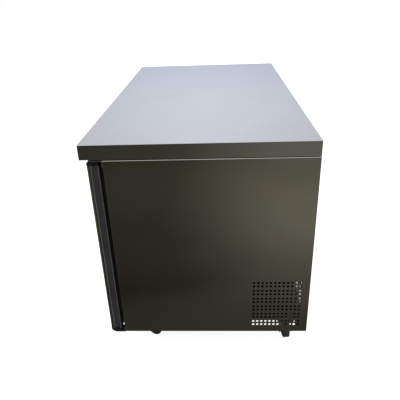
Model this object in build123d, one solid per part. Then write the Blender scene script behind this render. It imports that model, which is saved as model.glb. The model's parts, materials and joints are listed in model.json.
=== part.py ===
"""A two-door worktop freezer counter on casters.

Millimetres. +X is to the right seen from the front, -Y is the front with the doors, +Z is up.
The origin is on the floor under the middle of the counter. Each sub-part is one node in parts/.
"""

from build123d import *
import math
import os

# Driving dimensions
WIDTH = 1200.0  # across the two side panels
HEIGHT = 800.0  # floor to worktop
BASE = 100.0  # floor to the underside of the cabinet, which is the caster height
FRONT, BACK = -280.0, 350.0  # the cabinet's front face and back
SHEET = 1.0  # panel sheet thickness
FLANGE = 18.0  # depth of the panels' folded edges

# Worktop
TOP_FRONT = -347.5
TOP_HALF = WIDTH / 2 - 1.5  # half length: the side panels stand 1.5 proud and leave a thin ledge
TOP_THICK = 47.0
TOP_UNDER = HEIGHT - TOP_THICK
TOP_RETURN = 20.0  # width of the fold under the worktop's edge
CAB_TOP = TOP_UNDER - 2.0  # the worktop stands off the cabinet by this shadow gap

# Cabinet and foam
HALF = WIDTH / 2
CAV_HALF = 540.0  # half the inner width
CAV_BACK = 289.0
CAV_FLOOR, CAV_ROOF = 156.0, 694.0
HUMP_FRONT, HUMP_TOP = 89.0, 386.0  # the step in the liner over the machine bay
FRAME_BACK = FRONT + 18.0  # rear face of the door frame
OPEN_IN, OPEN_OUT = 35.0, 540.0  # each door opening, from the middle outwards
OPEN_LOW, OPEN_HIGH = 160.0, 690.0
BAY_FRONT, BAY_ROOF = 150.0, 325.0  # the machine bay, open below
PIPE_X, PIPE_Y = 120.0, 320.0  # where the pipes rise through the foam
PIPE_Z = 600.0

# Perforations: pairs of rows of round holes
HOLE_R = 4.3
HOLE_COLUMNS, HOLE_PITCH = 12, 13.8
HOLE_FIRST_Y = 167.0
HOLE_PAIRS, PAIR_PITCH, PAIR_GAP = 6, 32.4, 14.1
HOLE_FIRST_Z = 132.4

# Doors
DOOR_IN, DOOR_OUT = 2.0, 597.0
DOOR_FRONT, DOOR_BACK = -329.5, -293.0
DOOR_LOW, DOOR_HIGH = 100.5, 745.5
CAP_LOW, CAP_HIGH = 14.0, 11.0  # heights of the bottom and top end caps
CAP_ROUND_LOW, CAP_ROUND_HIGH = 13.0, 8.0  # their front corners, seen from the side
SKIN_BACK = -316.0  # rear edge of the door skin's folded sides
DOOR_ROUND = 9.0  # radius of the door's front edges
PANEL_WALL = 2.5
HINGE_X, HINGE_Y = 584.0, -311.0
PIN_R = 4.0
RUN_FIT = 0.08  # radial clearance of every pin, axle and shaft
PIN_LONG = 18.0
BOSS_R, BOSS_LONG = 8.0, 14.0
SEAL_FACE = FRONT - 0.3
HANDLE_X, HANDLE_Z = (25.0, 59.0), (515.0, 685.0)
HANDLE_DEEP = 24.0

# Running gear
CASTER_TALL = 75.0
RAIL_WIDE, RAIL_WALL = 60.0, 2.0
RAIL_HALF = 528.0
SIDE_RAIL_OUT, SIDE_RAIL_WIDE = 505.0, 40.0
SILL_FRONT, SILL_TALL = 318.0, 25.0
SWIVEL_X = 498.0
SWIVEL_Y = {"front": -208.0, "rear": 292.0}
WHEEL_R, WHEEL_WIDE = 25.0, 24.0
TRAIL = 20.0
AXLE_R = 3.5
LEG_INSIDE, LEG_THICK, LEG_END_R = 13.6, 2.4, 8.0
RACE_LOW, RACE_R = 66.0, 21.0
KING_PIN_R = 4.5
PLATE_SIDE = 58.0
BOLT_SIDE = 42.0
BOLT_R = 3.0
CASTERS = {
    # name: side, end, and the way the wheel trails from the swivel, in degrees from +X
    "front_right": (1, "front", 70.0),
    "front_left": (-1, "front", 152.0),
    "rear_right": (1, "rear", 4.0),
    "rear_left": (-1, "rear", 205.0),
}

# Controller in the worktop's front edge
KEYPAD_X = 430.0
KEYPAD_Z = HEIGHT - TOP_THICK / 2
BEZEL_WIDE, BEZEL_TALL, BEZEL_PROUD = 78.0, 34.0, 1.5
CASE_WIDE, CASE_TALL, CASE_DEEP = 70.0, 28.0, 58.0
KEY_R, KEY_PROUD, KEY_LONG = 3.4, 1.0, 5.0
KEYS = {"set": 13.0, "up": 21.5, "down": 30.0}

# Machine bay
COVER_FACE = BACK - 4.0  # outside of the rear cover, set in from the back
CONDENSER_X, CONDENSER_Y = (486.0, 536.0), (160.0, 312.0)
FAN_Y, FAN_Z, FAN_R = 236.0, 206.0, 68.0
SHAFT_R = 3.0
COMPRESSOR_X, COMPRESSOR_Y = 250.0, 236.0
GROMMET_TALL = 14.0
TRAY_HALF, TRAY_Y = 548.0, (153.0, 316.0)
TRAY_TALL = 12.0
TRAY_FLOOR = BASE + 2.0

# Evaporator
EVAP_HALF = 150.0
EVAP_Y, EVAP_Z = (228.0, 284.0), (545.0, 675.0)
COVER_HALF, COVER_FRONT, COVER_LOW = 205.0, 186.0, 522.0
EVAP_FAN_Z = 610.0
EVAP_FAN_R = 56.0
EVAP_SHAFT_R = 2.0
FAN_ARMS = (90, 210, 330)

SHELF_Z = 430.0
BAR, WIRE_R, WIRES = 6.0, 1.6, 17

# Rear cover
SCREW_R = 2.0
SCREW_X = (-540.0, -180.0, 180.0, 540.0)
SLOT_TALL, SLOT_WIDE, SLOT_PITCH = 70.0, 8.0, 16.0
SLOT_ROWS = (165.0, 250.0)
SLOT_GROUP, SLOT_COUNT = 300.0, 13  # middle of each group, and slots on either side of it
GLAND_X, GLAND_Z, GLAND_R = -548.0, 215.0, 8.0
CABLE_R = 4.0
nodes = {}


def block(xs, ys, zs):
    """A box from its X, Y and Z ranges."""
    ranges = (xs, ys, zs)
    middle = [(a + b) / 2 for a, b in ranges]
    return Pos(*middle) * Box(*[b - a for a, b in ranges])


def rod(start, end, radius):
    """A round bar between two points."""
    along = Vector(*end) - Vector(*start)
    return Solid.make_cylinder(radius, along.length, Plane(origin=start, z_dir=along))


def ring(start, end, radius, bore):
    """A round tube between two points."""
    return rod(start, end, radius) - rod(start, end, bore)


def pipe(points, bends, radius, closed=False):
    """A bent pipe along straight runs joined by arcs."""
    path = FilletPolyline(*points, radius=bends, close=closed)
    section = Plane(origin=path @ 0, z_dir=path % 0) * Circle(radius)
    return sweep(section, path=path)


def mirrored(shape):
    """The same piece on the other side of the counter."""
    return mirror(shape, about=Plane.YZ)


def edges_on_face(shape, axis, value):
    """The edges that lie in the plane where that axis has that value."""
    return shape.edges().filter_by_position(axis, value - 0.01, value + 0.01)


def caster_place(side, end, angle):
    """Turns and moves a caster drawn with its swivel on Z and its wheel trailing along +X."""
    return Pos(side * SWIVEL_X, SWIVEL_Y[end], 0) * Rot(0, 0, angle)


def bolt_spots():
    """The four bolts of a caster's plate, about its swivel."""
    return [(x, y) for x in (-BOLT_SIDE / 2, BOLT_SIDE / 2) for y in (-BOLT_SIDE / 2, BOLT_SIDE / 2)]


def at_casters(shapes):
    """Copies of shapes at every caster, square to the cabinet."""
    places = [Pos(side * SWIVEL_X, SWIVEL_Y[end], 0) for side, end, _ in CASTERS.values()]
    return [place * shape for place in places for shape in shapes]


# Worktop


def worktop_sheet():
    """One sheet folded down on four sides and back under, with the controller's cut-out in front."""
    xs, ys = (-TOP_HALF, TOP_HALF), (TOP_FRONT, BACK)
    outer = block(xs, ys, (TOP_UNDER, HEIGHT))
    outer = fillet(edges_on_face(outer, Axis.Z, HEIGHT) + outer.edges().filter_by(Axis.Z), 1.8)
    inner_x, inner_y = (-TOP_HALF + SHEET, TOP_HALF - SHEET), (TOP_FRONT + SHEET, BACK - SHEET)
    inner = block(inner_x, inner_y, (TOP_UNDER + SHEET, HEIGHT - SHEET))
    mouth = block(
        (-TOP_HALF + TOP_RETURN, TOP_HALF - TOP_RETURN),
        (TOP_FRONT + TOP_RETURN, BACK - TOP_RETURN),
        (TOP_UNDER - 1, TOP_UNDER + 2 * SHEET),
    )
    return outer - inner - mouth - controller_cutout(0.0)


def controller_cutout(room):
    """The space the controller's case takes, with that much room around it."""
    half_x, half_z = CASE_WIDE / 2 + room, CASE_TALL / 2 + room
    return block(
        (KEYPAD_X - half_x, KEYPAD_X + half_x),
        (TOP_FRONT - 1, TOP_FRONT + CASE_DEEP + room),
        (KEYPAD_Z - half_z, KEYPAD_Z + half_z),
    )


def worktop_core():
    """The board that fills the worktop and carries it on the cabinet."""
    inset = SHEET + 0.8
    board = block(
        (-TOP_HALF + inset, TOP_HALF - inset),
        (TOP_FRONT + inset, BACK - inset),
        (TOP_UNDER + SHEET, HEIGHT - SHEET),
    )
    edge = TOP_RETURN + 1.0
    foot = block(
        (-TOP_HALF + edge, TOP_HALF - edge),
        (TOP_FRONT + 4 * edge, BACK - edge),
        (CAB_TOP, TOP_UNDER + SHEET),
    )
    return board + foot - controller_cutout(2.0)


# Cabinet shell


def side_panel():
    """The right side: a folded pan of polished sheet, perforated over the machine bay."""
    ys, zs = (FRONT, BACK), (BASE, CAB_TOP)
    outer = block((HALF - FLANGE, HALF), ys, zs)
    outer = fillet(edges_on_face(outer, Axis.X, HALF), 2.0)
    inner = block(
        (HALF - FLANGE - 1, HALF - SHEET),
        (FRONT + SHEET, BACK - SHEET),
        (BASE + SHEET, CAB_TOP - SHEET),
    )
    inner = fillet(edges_on_face(inner, Axis.X, HALF - SHEET), 1.0)
    pair_bottoms = [HOLE_FIRST_Z + pair * PAIR_PITCH for pair in range(HOLE_PAIRS)]
    rows = [low + row * PAIR_GAP for low in pair_bottoms for row in (0, 1)]
    columns = [HOLE_FIRST_Y + column * HOLE_PITCH for column in range(HOLE_COLUMNS)]
    face = Plane(origin=(HALF - 3, 0, 0), x_dir=(0, 1, 0), z_dir=(1, 0, 0))
    holes = Sketch() + [Pos(y, z) * Circle(HOLE_R) for y in columns for z in rows]
    return outer - inner - extrude(face * holes, amount=6)


def top_plate():
    """The galvanised sheet under the worktop, folded down over the front of the foam."""
    x = (-HALF + FLANGE + 0.5, HALF - FLANGE - 0.5)
    plate = block(x, (FRONT, BACK), (CAB_TOP - SHEET, CAB_TOP))
    return plate + block(x, (FRONT, FRONT + SHEET), (CAB_TOP - FLANGE - 1, CAB_TOP - SHEET))


def base_pan():
    """The sheet under the foam, folded up over its front."""
    x = (-HALF + FLANGE + 0.5, HALF - FLANGE - 0.5)
    pan = block(x, (FRONT, BAY_FRONT + SHEET), (BASE, BASE + SHEET))
    return pan + block(x, (FRONT, FRONT + SHEET), (BASE, BASE + FLANGE))


def rear_panel():
    """The back sheet: down to the bay, in along its roof and down its front wall, with a screw lip."""
    half, bay_half = HALF - FLANGE - 0.5, HALF - SHEET - 1.2
    roof_top = BAY_ROOF + SHEET
    lip_tall = 16.0
    panel = block((-half, half), (BACK - SHEET, BACK), (BAY_ROOF, CAB_TOP - SHEET))
    panel += block((-bay_half, bay_half), (BAY_FRONT, BACK - SHEET), (BAY_ROOF, roof_top))
    panel += block((-bay_half, bay_half), (BAY_FRONT, BAY_FRONT + SHEET), (BASE + SHEET, roof_top))
    lip_y = (COVER_FACE - 2 * SHEET, COVER_FACE - SHEET)
    panel += block((-half, half), lip_y, (BAY_ROOF - lip_tall, BAY_ROOF))
    return panel - pipe_channel(1.0) - [rod((x, 0, z), (x, BACK, z), SCREW_R) for x, z in screw_spots()]


def pipe_channel(room):
    """The way up through the foam for the two pipes, with that much room."""
    half_wide, half_deep, half_tall = 26.0, 8.0, 12.0
    xs = (PIPE_X - half_wide, PIPE_X + half_wide)
    up = block(xs, (PIPE_Y - half_deep, PIPE_Y + half_deep), (BAY_ROOF - room, PIPE_Z + half_tall))
    return up + block(xs, (CAV_BACK - room, PIPE_Y), (PIPE_Z - half_tall, PIPE_Z + half_tall))


def rear_grille():
    """The removable cover over the back of the machine bay, slotted for air."""
    half = HALF - FLANGE - 3
    cover = block((-half, half), (COVER_FACE - SHEET, COVER_FACE), (BASE + 2, BAY_ROOF - 0.5))
    face = Plane(origin=(0, COVER_FACE + 1, 0), x_dir=(-1, 0, 0), z_dir=(0, 1, 0))
    slot = Rot(0, 0, 90) * SlotOverall(SLOT_TALL, SLOT_WIDE)
    steps = range(-SLOT_COUNT, SLOT_COUNT + 1)
    slots = Sketch()
    for z in SLOT_ROWS:
        for middle in (-SLOT_GROUP, SLOT_GROUP):
            slots += [Pos(middle + step * SLOT_PITCH, z) * slot for step in steps]
    cover -= extrude(face * slots, amount=3, dir=(0, -1, 0))
    cover -= rod((GLAND_X, 0, GLAND_Z), (GLAND_X, BACK, GLAND_Z), GLAND_R)
    return cover - [rod((x, 0, z), (x, BACK, z), SCREW_R + 0.3) for x, z in screw_spots()]


def screw_spots():
    """The rear cover's screws: into the sill below and the panel's lip above."""
    return [(x, z) for x in SCREW_X for z in (BASE + SILL_TALL / 2, BAY_ROOF - 8)]


def grille_screws():
    """Pan-head screws that hold the rear cover."""
    screws = []
    for x, z in screw_spots():
        shank = rod((x, COVER_FACE - 6, z), (x, COVER_FACE + 1, z), SCREW_R)
        head = rod((x, COVER_FACE, z), (x, COVER_FACE + 2.4, z), 4.0)
        screws.append(shank + fillet(edges_on_face(head, Axis.Y, COVER_FACE + 2.4), 1.2))
    return screws


def cable_gland():
    """The mains cable's gland, held in the rear cover by its flange and a nut."""
    inside, outside = COVER_FACE - 10, BACK - 0.5
    flange = rod((GLAND_X, COVER_FACE, GLAND_Z), (GLAND_X, outside, GLAND_Z), GLAND_R + 3.5)
    flange = fillet(edges_on_face(flange, Axis.Y, outside), 1.0)
    nut_face = Plane(origin=(GLAND_X, COVER_FACE - SHEET, GLAND_Z), x_dir=(1, 0, 0), z_dir=(0, -1, 0))
    nut = extrude(nut_face * RegularPolygon(radius=GLAND_R + 4, side_count=6), amount=5, dir=(0, -1, 0))
    body = rod((GLAND_X, inside, GLAND_Z), (GLAND_X, COVER_FACE, GLAND_Z), GLAND_R)
    return body + flange + nut - rod((GLAND_X, 0, GLAND_Z), (GLAND_X, HALF, GLAND_Z), CABLE_R)


def box_rail(xs, ys, zs, along):
    """A square-cornered box section, open at its ends. along is the axis that it runs on."""
    wall = RAIL_WALL
    inner = [(low + wall, high - wall) for low, high in (xs, ys, zs)]
    inner[along] = (-2 * HALF, 2 * HALF)
    return block(xs, ys, zs) - block(*inner)


def base_frame():
    """A welded ladder of box section under the cabinet, with a sill across the back of the bay."""
    zs = (CASTER_TALL, BASE)
    half_wide = RAIL_WIDE / 2
    front, rear = SWIVEL_Y["front"], SWIVEL_Y["rear"]
    frame = box_rail((-RAIL_HALF, RAIL_HALF), (front - half_wide, front + half_wide), zs, 0)
    frame += box_rail((-RAIL_HALF, RAIL_HALF), (rear - half_wide, rear + half_wide), zs, 0)
    side_x = (SIDE_RAIL_OUT - SIDE_RAIL_WIDE, SIDE_RAIL_OUT)
    side = box_rail(side_x, (front + half_wide, rear - half_wide), zs, 1)
    frame += [side, mirrored(side)]
    sill_half = HALF - FLANGE - 2
    sill_y, sill_z = (SILL_FRONT, COVER_FACE - SHEET), (BASE, BASE + SILL_TALL)
    frame += box_rail((-sill_half, sill_half), sill_y, sill_z, 0)
    hole_z = (CASTER_TALL - 1, CASTER_TALL + RAIL_WALL + 1)
    frame -= at_casters([rod((x, y, hole_z[0]), (x, y, hole_z[1]), BOLT_R + 0.3) for x, y in bolt_spots()])
    return frame - [rod((x, COVER_FACE - 6, z), (x, BACK, z), SCREW_R) for x, z in screw_spots()]


def cavity(grow):
    """The inside of the liner, grown by that much on every side but the front."""
    half = CAV_HALF + grow
    room = block((-half, half), (FRAME_BACK, CAV_BACK + grow), (CAV_FLOOR - grow, CAV_ROOF + grow))
    hump = block((-HALF, HALF), (HUMP_FRONT + grow, BACK), (BASE, HUMP_TOP - grow))
    return room - hump


def insulation():
    """Polyurethane foam poured between the liner and the outer sheets."""
    foam = block((-HALF + SHEET, HALF - SHEET), (FRAME_BACK, BACK - SHEET), (BASE + SHEET, CAB_TOP - SHEET))
    rims = edges_on_face(foam, Axis.X, HALF - SHEET) + edges_on_face(foam, Axis.X, SHEET - HALF)
    foam = chamfer(rims, 1.3)
    foam -= cavity(SHEET)
    foam -= block((-HALF, HALF), (BAY_FRONT, BACK), (BASE, BAY_ROOF + SHEET))
    return foam - pipe_channel(2.0)


def inner_liner():
    """The freezer's inside: a sheet box open in front, stepped over the machine bay."""
    shell = cavity(SHEET) - cavity(0.0)
    return shell - pipe_channel(2.0)


def front_frame():
    """The plastic frame around both doorways, with the post between them."""
    half = HALF - SHEET
    frame = block((-half, half), (FRONT + SHEET, FRAME_BACK), (BASE + SHEET, CAB_TOP - SHEET))
    frame = chamfer(edges_on_face(frame, Axis.X, half) + edges_on_face(frame, Axis.X, -half), 1.3)
    face_half = HALF - FLANGE - 0.5
    face_z = (BASE + FLANGE + 0.5, CAB_TOP - FLANGE - 1.5)
    frame += block((-face_half, face_half), (FRONT, FRONT + SHEET), face_z)
    doorway = block((OPEN_IN, OPEN_OUT), (FRONT - 1, FRAME_BACK + 1), (OPEN_LOW, OPEN_HIGH))
    doorway = fillet(doorway.edges().filter_by(Axis.Y), 6)
    return frame - doorway - mirrored(doorway)


# Shelves


def shelf():
    """A wire shelf for the right half: a rim of square bar, a bar along the middle and wires across."""
    x, y = (13.0, 533.0), (-238.0, 153.0)
    zs = (SHELF_Z - BAR / 2, SHELF_Z + BAR / 2)
    inner_x, inner_y = (x[0] + BAR, x[1] - BAR), (y[0] + BAR, y[1] - BAR)
    outer = block(x, y, zs)
    inner = block(inner_x, inner_y, (zs[0] - 1, zs[1] + 1))
    made = fillet(outer.edges().filter_by(Axis.Z), 15) - fillet(inner.edges().filter_by(Axis.Z), 15 - BAR)
    middle_y = sum(y) / 2
    made += block(inner_x, (middle_y - BAR / 2, middle_y + BAR / 2), zs)
    level = zs[1] + WIRE_R - 1.0
    for step in range(1, WIRES):
        at = x[0] + (x[1] - x[0]) * step / WIRES
        made += rod((at, y[0] + BAR / 2, level), (at, y[1] - BAR / 2, level), WIRE_R)
    return made


def shelf_supports():
    """Angle rails on the side walls and a T rail in the middle, from the door post to the back wall."""
    y = (-240.0, 160.0)
    top = SHELF_Z - BAR / 2
    thick, deep, leg = 1.5, 22.0, 20.0
    side = block((CAV_HALF - thick, CAV_HALF), y, (top - leg, top))
    side += block((CAV_HALF - deep, CAV_HALF), y, (top - thick, top))
    long_y = (FRAME_BACK, CAV_BACK)
    middle = block((-24, 24), long_y, (top - thick, top)) + block((-1, 1), long_y, (top - leg, top))
    return [side, mirrored(side), middle]


# Evaporator, inside at the top of the back wall


def finned_coil(xs, ys, zs, fins, tubes, along):
    """A heat exchanger: thin fins across bundles of tube. along is the axis that the tubes run on."""
    ranges = [xs, ys, zs]
    low, high = ranges[along]
    made = None
    for step in range(fins):
        at = low + (high - low) * (0.06 + 0.88 * step / (fins - 1))
        ends = list(ranges)
        ends[along] = (at - 0.5, at + 0.5)
        fin = block(*ends)
        made = fin if made is None else made + fin
    for a, b in tubes:
        start, end = [0.0] * 3, [0.0] * 3
        others = [axis for axis in range(3) if axis != along]
        for axis, value in zip(others, (a, b)):
            start[axis] = end[axis] = value
        start[along], end[along] = low, high
        made += rod(start, end, 4.8)
    return made


def evaporator_coil():
    """Aluminium fins on copper tubes, with the two pipe ends at the back."""
    tubes = [(y, z) for y in (242.0, 270.0) for z in (565.0, 600.0, 635.0, 660.0)]
    return finned_coil((-EVAP_HALF, EVAP_HALF), EVAP_Y, EVAP_Z, 22, tubes, 0)


def evaporator_cover():
    """The folded cover over the evaporator, with the fan's hole and the return-air slots below."""
    thick = 1.2
    outer = block((-COVER_HALF, COVER_HALF), (COVER_FRONT, CAV_BACK), (COVER_LOW, CAV_ROOF))
    front_low = outer.edges().filter_by(Axis.X).sort_by(Axis.Y)[:1]
    front_sides = outer.edges().filter_by(Axis.Z).sort_by(Axis.Y)[:2]
    outer = fillet(front_low + front_sides, 4)
    inner = block(
        (-COVER_HALF + thick, COVER_HALF - thick),
        (COVER_FRONT + thick, CAV_BACK + 1),
        (COVER_LOW + thick, CAV_ROOF + 1),
    )
    inner = fillet(inner.edges().filter_by(Axis.Z).sort_by(Axis.Y)[:2], 3)
    cover = outer - inner
    cover -= rod((0, COVER_FRONT - 5, EVAP_FAN_Z), (0, COVER_FRONT + 8, EVAP_FAN_Z), EVAP_FAN_R + 4)
    slot_wide = 7.0
    front_slot_x, front_slot_z, front_slot_pitch, front_slots = (90.0, 175.0), 560.0, 18.0, 6
    for side in (-1, 1):
        xs = sorted(side * x for x in front_slot_x)
        for step in range(front_slots):
            z = front_slot_z + step * front_slot_pitch
            cover -= block(xs, (COVER_FRONT - 2, COVER_FRONT + 6), (z, z + slot_wide))
    under_slot_y, under_slot_pitch, under_slots = (205.0, 265.0), 24.0, 7
    for step in range(-under_slots, under_slots + 1):
        x = step * under_slot_pitch
        cover -= block((x - slot_wide / 2, x + slot_wide / 2), under_slot_y, (COVER_LOW - 2, COVER_LOW + 5))
    return cover


def arm_ends(reach):
    """The outer ends of a fan motor's three arms, about its axis."""
    turns = [math.radians(turn) for turn in FAN_ARMS]
    return [(reach * math.cos(turn), reach * math.sin(turn)) for turn in turns]


def motor_posts(start, end, reach, radius):
    """Three straight posts, parallel to a fan's axis."""
    return [rod((x, y, start), (x, y, end), radius) for x, y in arm_ends(reach)]


def motor_arms(level, reach, radius):
    """Three arms from a fan motor out to its posts."""
    return [rod((0, 0, level), (x, y, level), radius) for x, y in arm_ends(reach)]


def evaporator_fan_motor():
    """The small motor behind the evaporator's fan: drawn on Z, held by three arms to a rim."""
    rim_out, rim_in = EVAP_FAN_R + 9, EVAP_FAN_R + 3
    reach = (rim_out + rim_in) / 2
    motor = rod((0, 0, 20), (0, 0, 38), 18)
    made = motor + ring((0, 0, 2), (0, 0, 5), rim_out, rim_in)
    made += motor_posts(4, 32, reach, 2.5)
    made += motor_arms(30, reach, 2.5)
    made += rod((0, 0, 6), (0, 0, 24), EVAP_SHAFT_R)
    return Pos(0, COVER_FRONT + 1.2, EVAP_FAN_Z) * Rot(-90, 0, 0) * made


def fan_blade(radius, hub, wide, count, bore):
    """An axial fan on the Z axis, its hub from z = 0 to wide, with pitched blades."""
    made = Pos(0, 0, wide / 2) * Cylinder(hub, wide)
    length, chord, thick, pitch = radius - hub + 2, radius * 0.62, 1.6, 30.0
    for step in range(count):
        blade = Box(length, chord, thick)
        blade = fillet(blade.edges().filter_by(Axis.Z), radius * 0.16)
        blade = Pos(hub - 2 + length / 2, 0, wide / 2) * Rot(pitch, 0, 0) * blade
        made += Rot(0, 0, step * 360 / count) * blade
    return (made & Cylinder(radius, wide * 6)) - Cylinder(bore, wide * 6)


def evaporator_fan_blade():
    """The evaporator's fan, which blows forwards."""
    fan = fan_blade(EVAP_FAN_R - 2, 17, 12, 5, EVAP_SHAFT_R + RUN_FIT)
    return Pos(0, COVER_FRONT + 8, EVAP_FAN_Z) * Rot(-90, 0, 0) * fan


# Machine bay


def compressor_tray():
    """The folded pan across the bay that everything in it stands on."""
    thick = TRAY_FLOOR - BASE
    tray = block((-TRAY_HALF, TRAY_HALF), TRAY_Y, (BASE, BASE + TRAY_TALL))
    inner = block(
        (-TRAY_HALF + thick, TRAY_HALF - thick),
        (TRAY_Y[0] + thick, TRAY_Y[1] - thick),
        (TRAY_FLOOR, BASE + 2 * TRAY_TALL),
    )
    return tray - inner


def grommet_spots():
    """The compressor's four feet."""
    return [(COMPRESSOR_X + dx, COMPRESSOR_Y + dy) for dx in (-82.0, 82.0) for dy in (-50.0, 50.0)]


def compressor_grommets():
    """Rubber feet under the compressor's base plate."""
    low = TRAY_FLOOR
    return [ring((x, y, low), (x, y, low + GROMMET_TALL), 11, 4) for x, y in grommet_spots()]


def compressor():
    """The hermetic compressor: two pressed half shells with a welded seam, on a base plate."""
    low = TRAY_FLOOR + GROMMET_TALL
    radius, tall, dome, curve = 66.0, 168.0, 34.0, 16.0
    plate_thick, plate_half_x, plate_half_y = 3.0, 96.0, 62.0
    seam_z, seam_tall, seam_proud = low + 78.0, 5.0, 4.0
    outlet_z, inlet_z, stub_long, stub_r = low + 110.0, low + 60.0, 14.0, 4.0
    terminal_z = (low + 95.0, low + 135.0)
    body = rod((0, 0, low + plate_thick), (0, 0, low + tall), radius)
    body = fillet(edges_on_face(body, Axis.Z, low + tall), dome)
    body = fillet(edges_on_face(body, Axis.Z, low + plate_thick), curve)
    body += ring((0, 0, seam_z), (0, 0, seam_z + seam_tall), radius + seam_proud, radius - seam_proud)
    plate = block((-plate_half_x, plate_half_x), (-plate_half_y, plate_half_y), (low, low + plate_thick))
    plate = fillet(plate.edges().filter_by(Axis.Z), 10)
    body += plate + rod((0, 0, low), (0, 0, low + 30), 40)
    body += block((-20, 20), (-radius - 6, -radius + 20), terminal_z)
    body += rod((0, 0, outlet_z), (radius + stub_long, 0, outlet_z), stub_r)
    body += rod((-radius / 2, 0, inlet_z), (-radius - stub_long, 0, inlet_z), stub_r)
    feet = [rod((x, y, low - 1), (x, y, low + plate_thick + 1), 5) for x, y in grommet_spots()]
    return Pos(COMPRESSOR_X, COMPRESSOR_Y, 0) * body - feet


def relay_box():
    """The start relay's cover on the compressor's terminal block."""
    low = TRAY_FLOOR + GROMMET_TALL
    y = COMPRESSOR_Y - 72.0
    box = block((COMPRESSOR_X - 26, COMPRESSOR_X + 26), (y - 12, y), (low + 88, low + 142))
    return fillet(box.edges().filter_by(Axis.Y) + edges_on_face(box, Axis.Y, y - 12), 3)


def condenser():
    """Black fins on tubes, standing on the tray beside the perforated panel."""
    tubes = [(x, z) for x in (499.0, 523.0) for z in (120.0, 150.0, 180.0, 210.0, 240.0, 270.0, 290.0)]
    return finned_coil(CONDENSER_X, CONDENSER_Y, (TRAY_FLOOR, 306.0), 20, tubes, 1)


def condenser_shroud():
    """The duct between the condenser and its fan, with three posts and arms to the motor."""
    face, depth, wall = CONDENSER_X[0], 30.0, 2.0
    back = face - depth
    ys, zs = (CONDENSER_Y[0] + 2, CONDENSER_Y[1] - 2), (TRAY_FLOOR, 305.0)
    shroud = block((back, face), ys, zs)
    shroud -= block((back + wall, face + 1), (ys[0] + wall, ys[1] - wall), (zs[0] + wall, zs[1] - wall))
    bore, rim = FAN_R + 2.0, FAN_R + 4.0
    fan_place = Pos(back, FAN_Y, FAN_Z) * Rot(0, -90, 0)
    reach = rim - 2.0
    mount = ring((0, 0, -wall), (0, 0, 10), rim, bore)
    mount += motor_posts(8, 40, reach, 2.0) + motor_arms(38, reach, 2.0)
    shroud -= rod((back - 1, FAN_Y, FAN_Z), (back + wall + 1, FAN_Y, FAN_Z), bore)
    return shroud + fan_place * mount - condenser_motor_can()


def condenser_motor_can():
    """The condenser fan motor's round can, behind the fan."""
    back = CONDENSER_X[0] - 30
    return rod((back - 66, FAN_Y, FAN_Z), (back - 30, FAN_Y, FAN_Z), 26)


def condenser_fan_motor():
    """The fan motor and its shaft."""
    back = CONDENSER_X[0] - 30
    return condenser_motor_can() + rod((back - 32, FAN_Y, FAN_Z), (back - 3, FAN_Y, FAN_Z), SHAFT_R)


def condenser_fan_blade():
    """The condenser's fan, just inside its ring."""
    fan = fan_blade(FAN_R, 22, 14, 5, SHAFT_R + RUN_FIT)
    return Pos(CONDENSER_X[0] - 48, FAN_Y, FAN_Z) * Rot(0, 90, 0) * fan


def refrigerant_lines():
    """The discharge pipe, the liquid pipe with its drier, the capillary and the suction pipe."""
    low = TRAY_FLOOR + GROMMET_TALL
    right, left = COMPRESSOR_X + 80, COMPRESSOR_X - 80
    coil_x, coil_y, wall_y = 511, CONDENSER_Y[1], 334
    drier_x, drier_y, drier_z = 400, 300, (155, 250)
    inside_y = EVAP_Y[1]
    discharge = pipe(
        [
            (right, COMPRESSOR_Y, low + 110),
            (right + 25, COMPRESSOR_Y, low + 110),
            (right + 25, wall_y, low + 110),
            (coil_x, wall_y, 290),
            (coil_x, coil_y, 290),
        ],
        [10, 14, 8],
        3.2,
    )
    liquid = pipe(
        [
            (coil_x, coil_y, 150),
            (coil_x, wall_y, 150),
            (drier_x, wall_y, 142),
            (drier_x, drier_y, 138),
            (drier_x, drier_y, drier_z[0]),
        ],
        [8, 10, 8],
        3.2,
    )
    drier = rod((drier_x, drier_y, drier_z[0]), (drier_x, drier_y, drier_z[1]), 9.5)
    drier = fillet(drier.edges(), 5)
    capillary = pipe(
        [
            (drier_x, drier_y, drier_z[1]),
            (drier_x, drier_y, 300),
            (PIPE_X + 14, drier_y, 300),
            (PIPE_X + 14, PIPE_Y, 318),
            (PIPE_X + 14, PIPE_Y, PIPE_Z),
            (PIPE_X + 14, inside_y, PIPE_Z),
        ],
        [12, 8, 5, 10],
        1.8,
    )
    suction = pipe(
        [
            (left, COMPRESSOR_Y, low + 60),
            (PIPE_X - 8, COMPRESSOR_Y, low + 60),
            (PIPE_X - 8, PIPE_Y, low + 90),
            (PIPE_X - 8, PIPE_Y, PIPE_Z),
            (PIPE_X - 8, inside_y, PIPE_Z),
        ],
        [14, 14, 14],
        4.8,
    )
    return [discharge, liquid, drier, capillary, suction]


def condensate_pan():
    """The shallow plastic tray where melt water dries off, to the left of the compressor."""
    wall, tall = 2.0, 34.0
    xs, ys = (-200, 20), (170, 305)
    pan = block(xs, ys, (TRAY_FLOOR, TRAY_FLOOR + tall))
    pan = fillet(pan.edges().filter_by(Axis.Z), 14)
    inner = block(
        (xs[0] + wall, xs[1] - wall),
        (ys[0] + wall, ys[1] - wall),
        (TRAY_FLOOR + wall, TRAY_FLOOR + 2 * tall),
    )
    return pan - fillet(inner.edges().filter_by(Axis.Z), 12)


# Hinges


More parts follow.
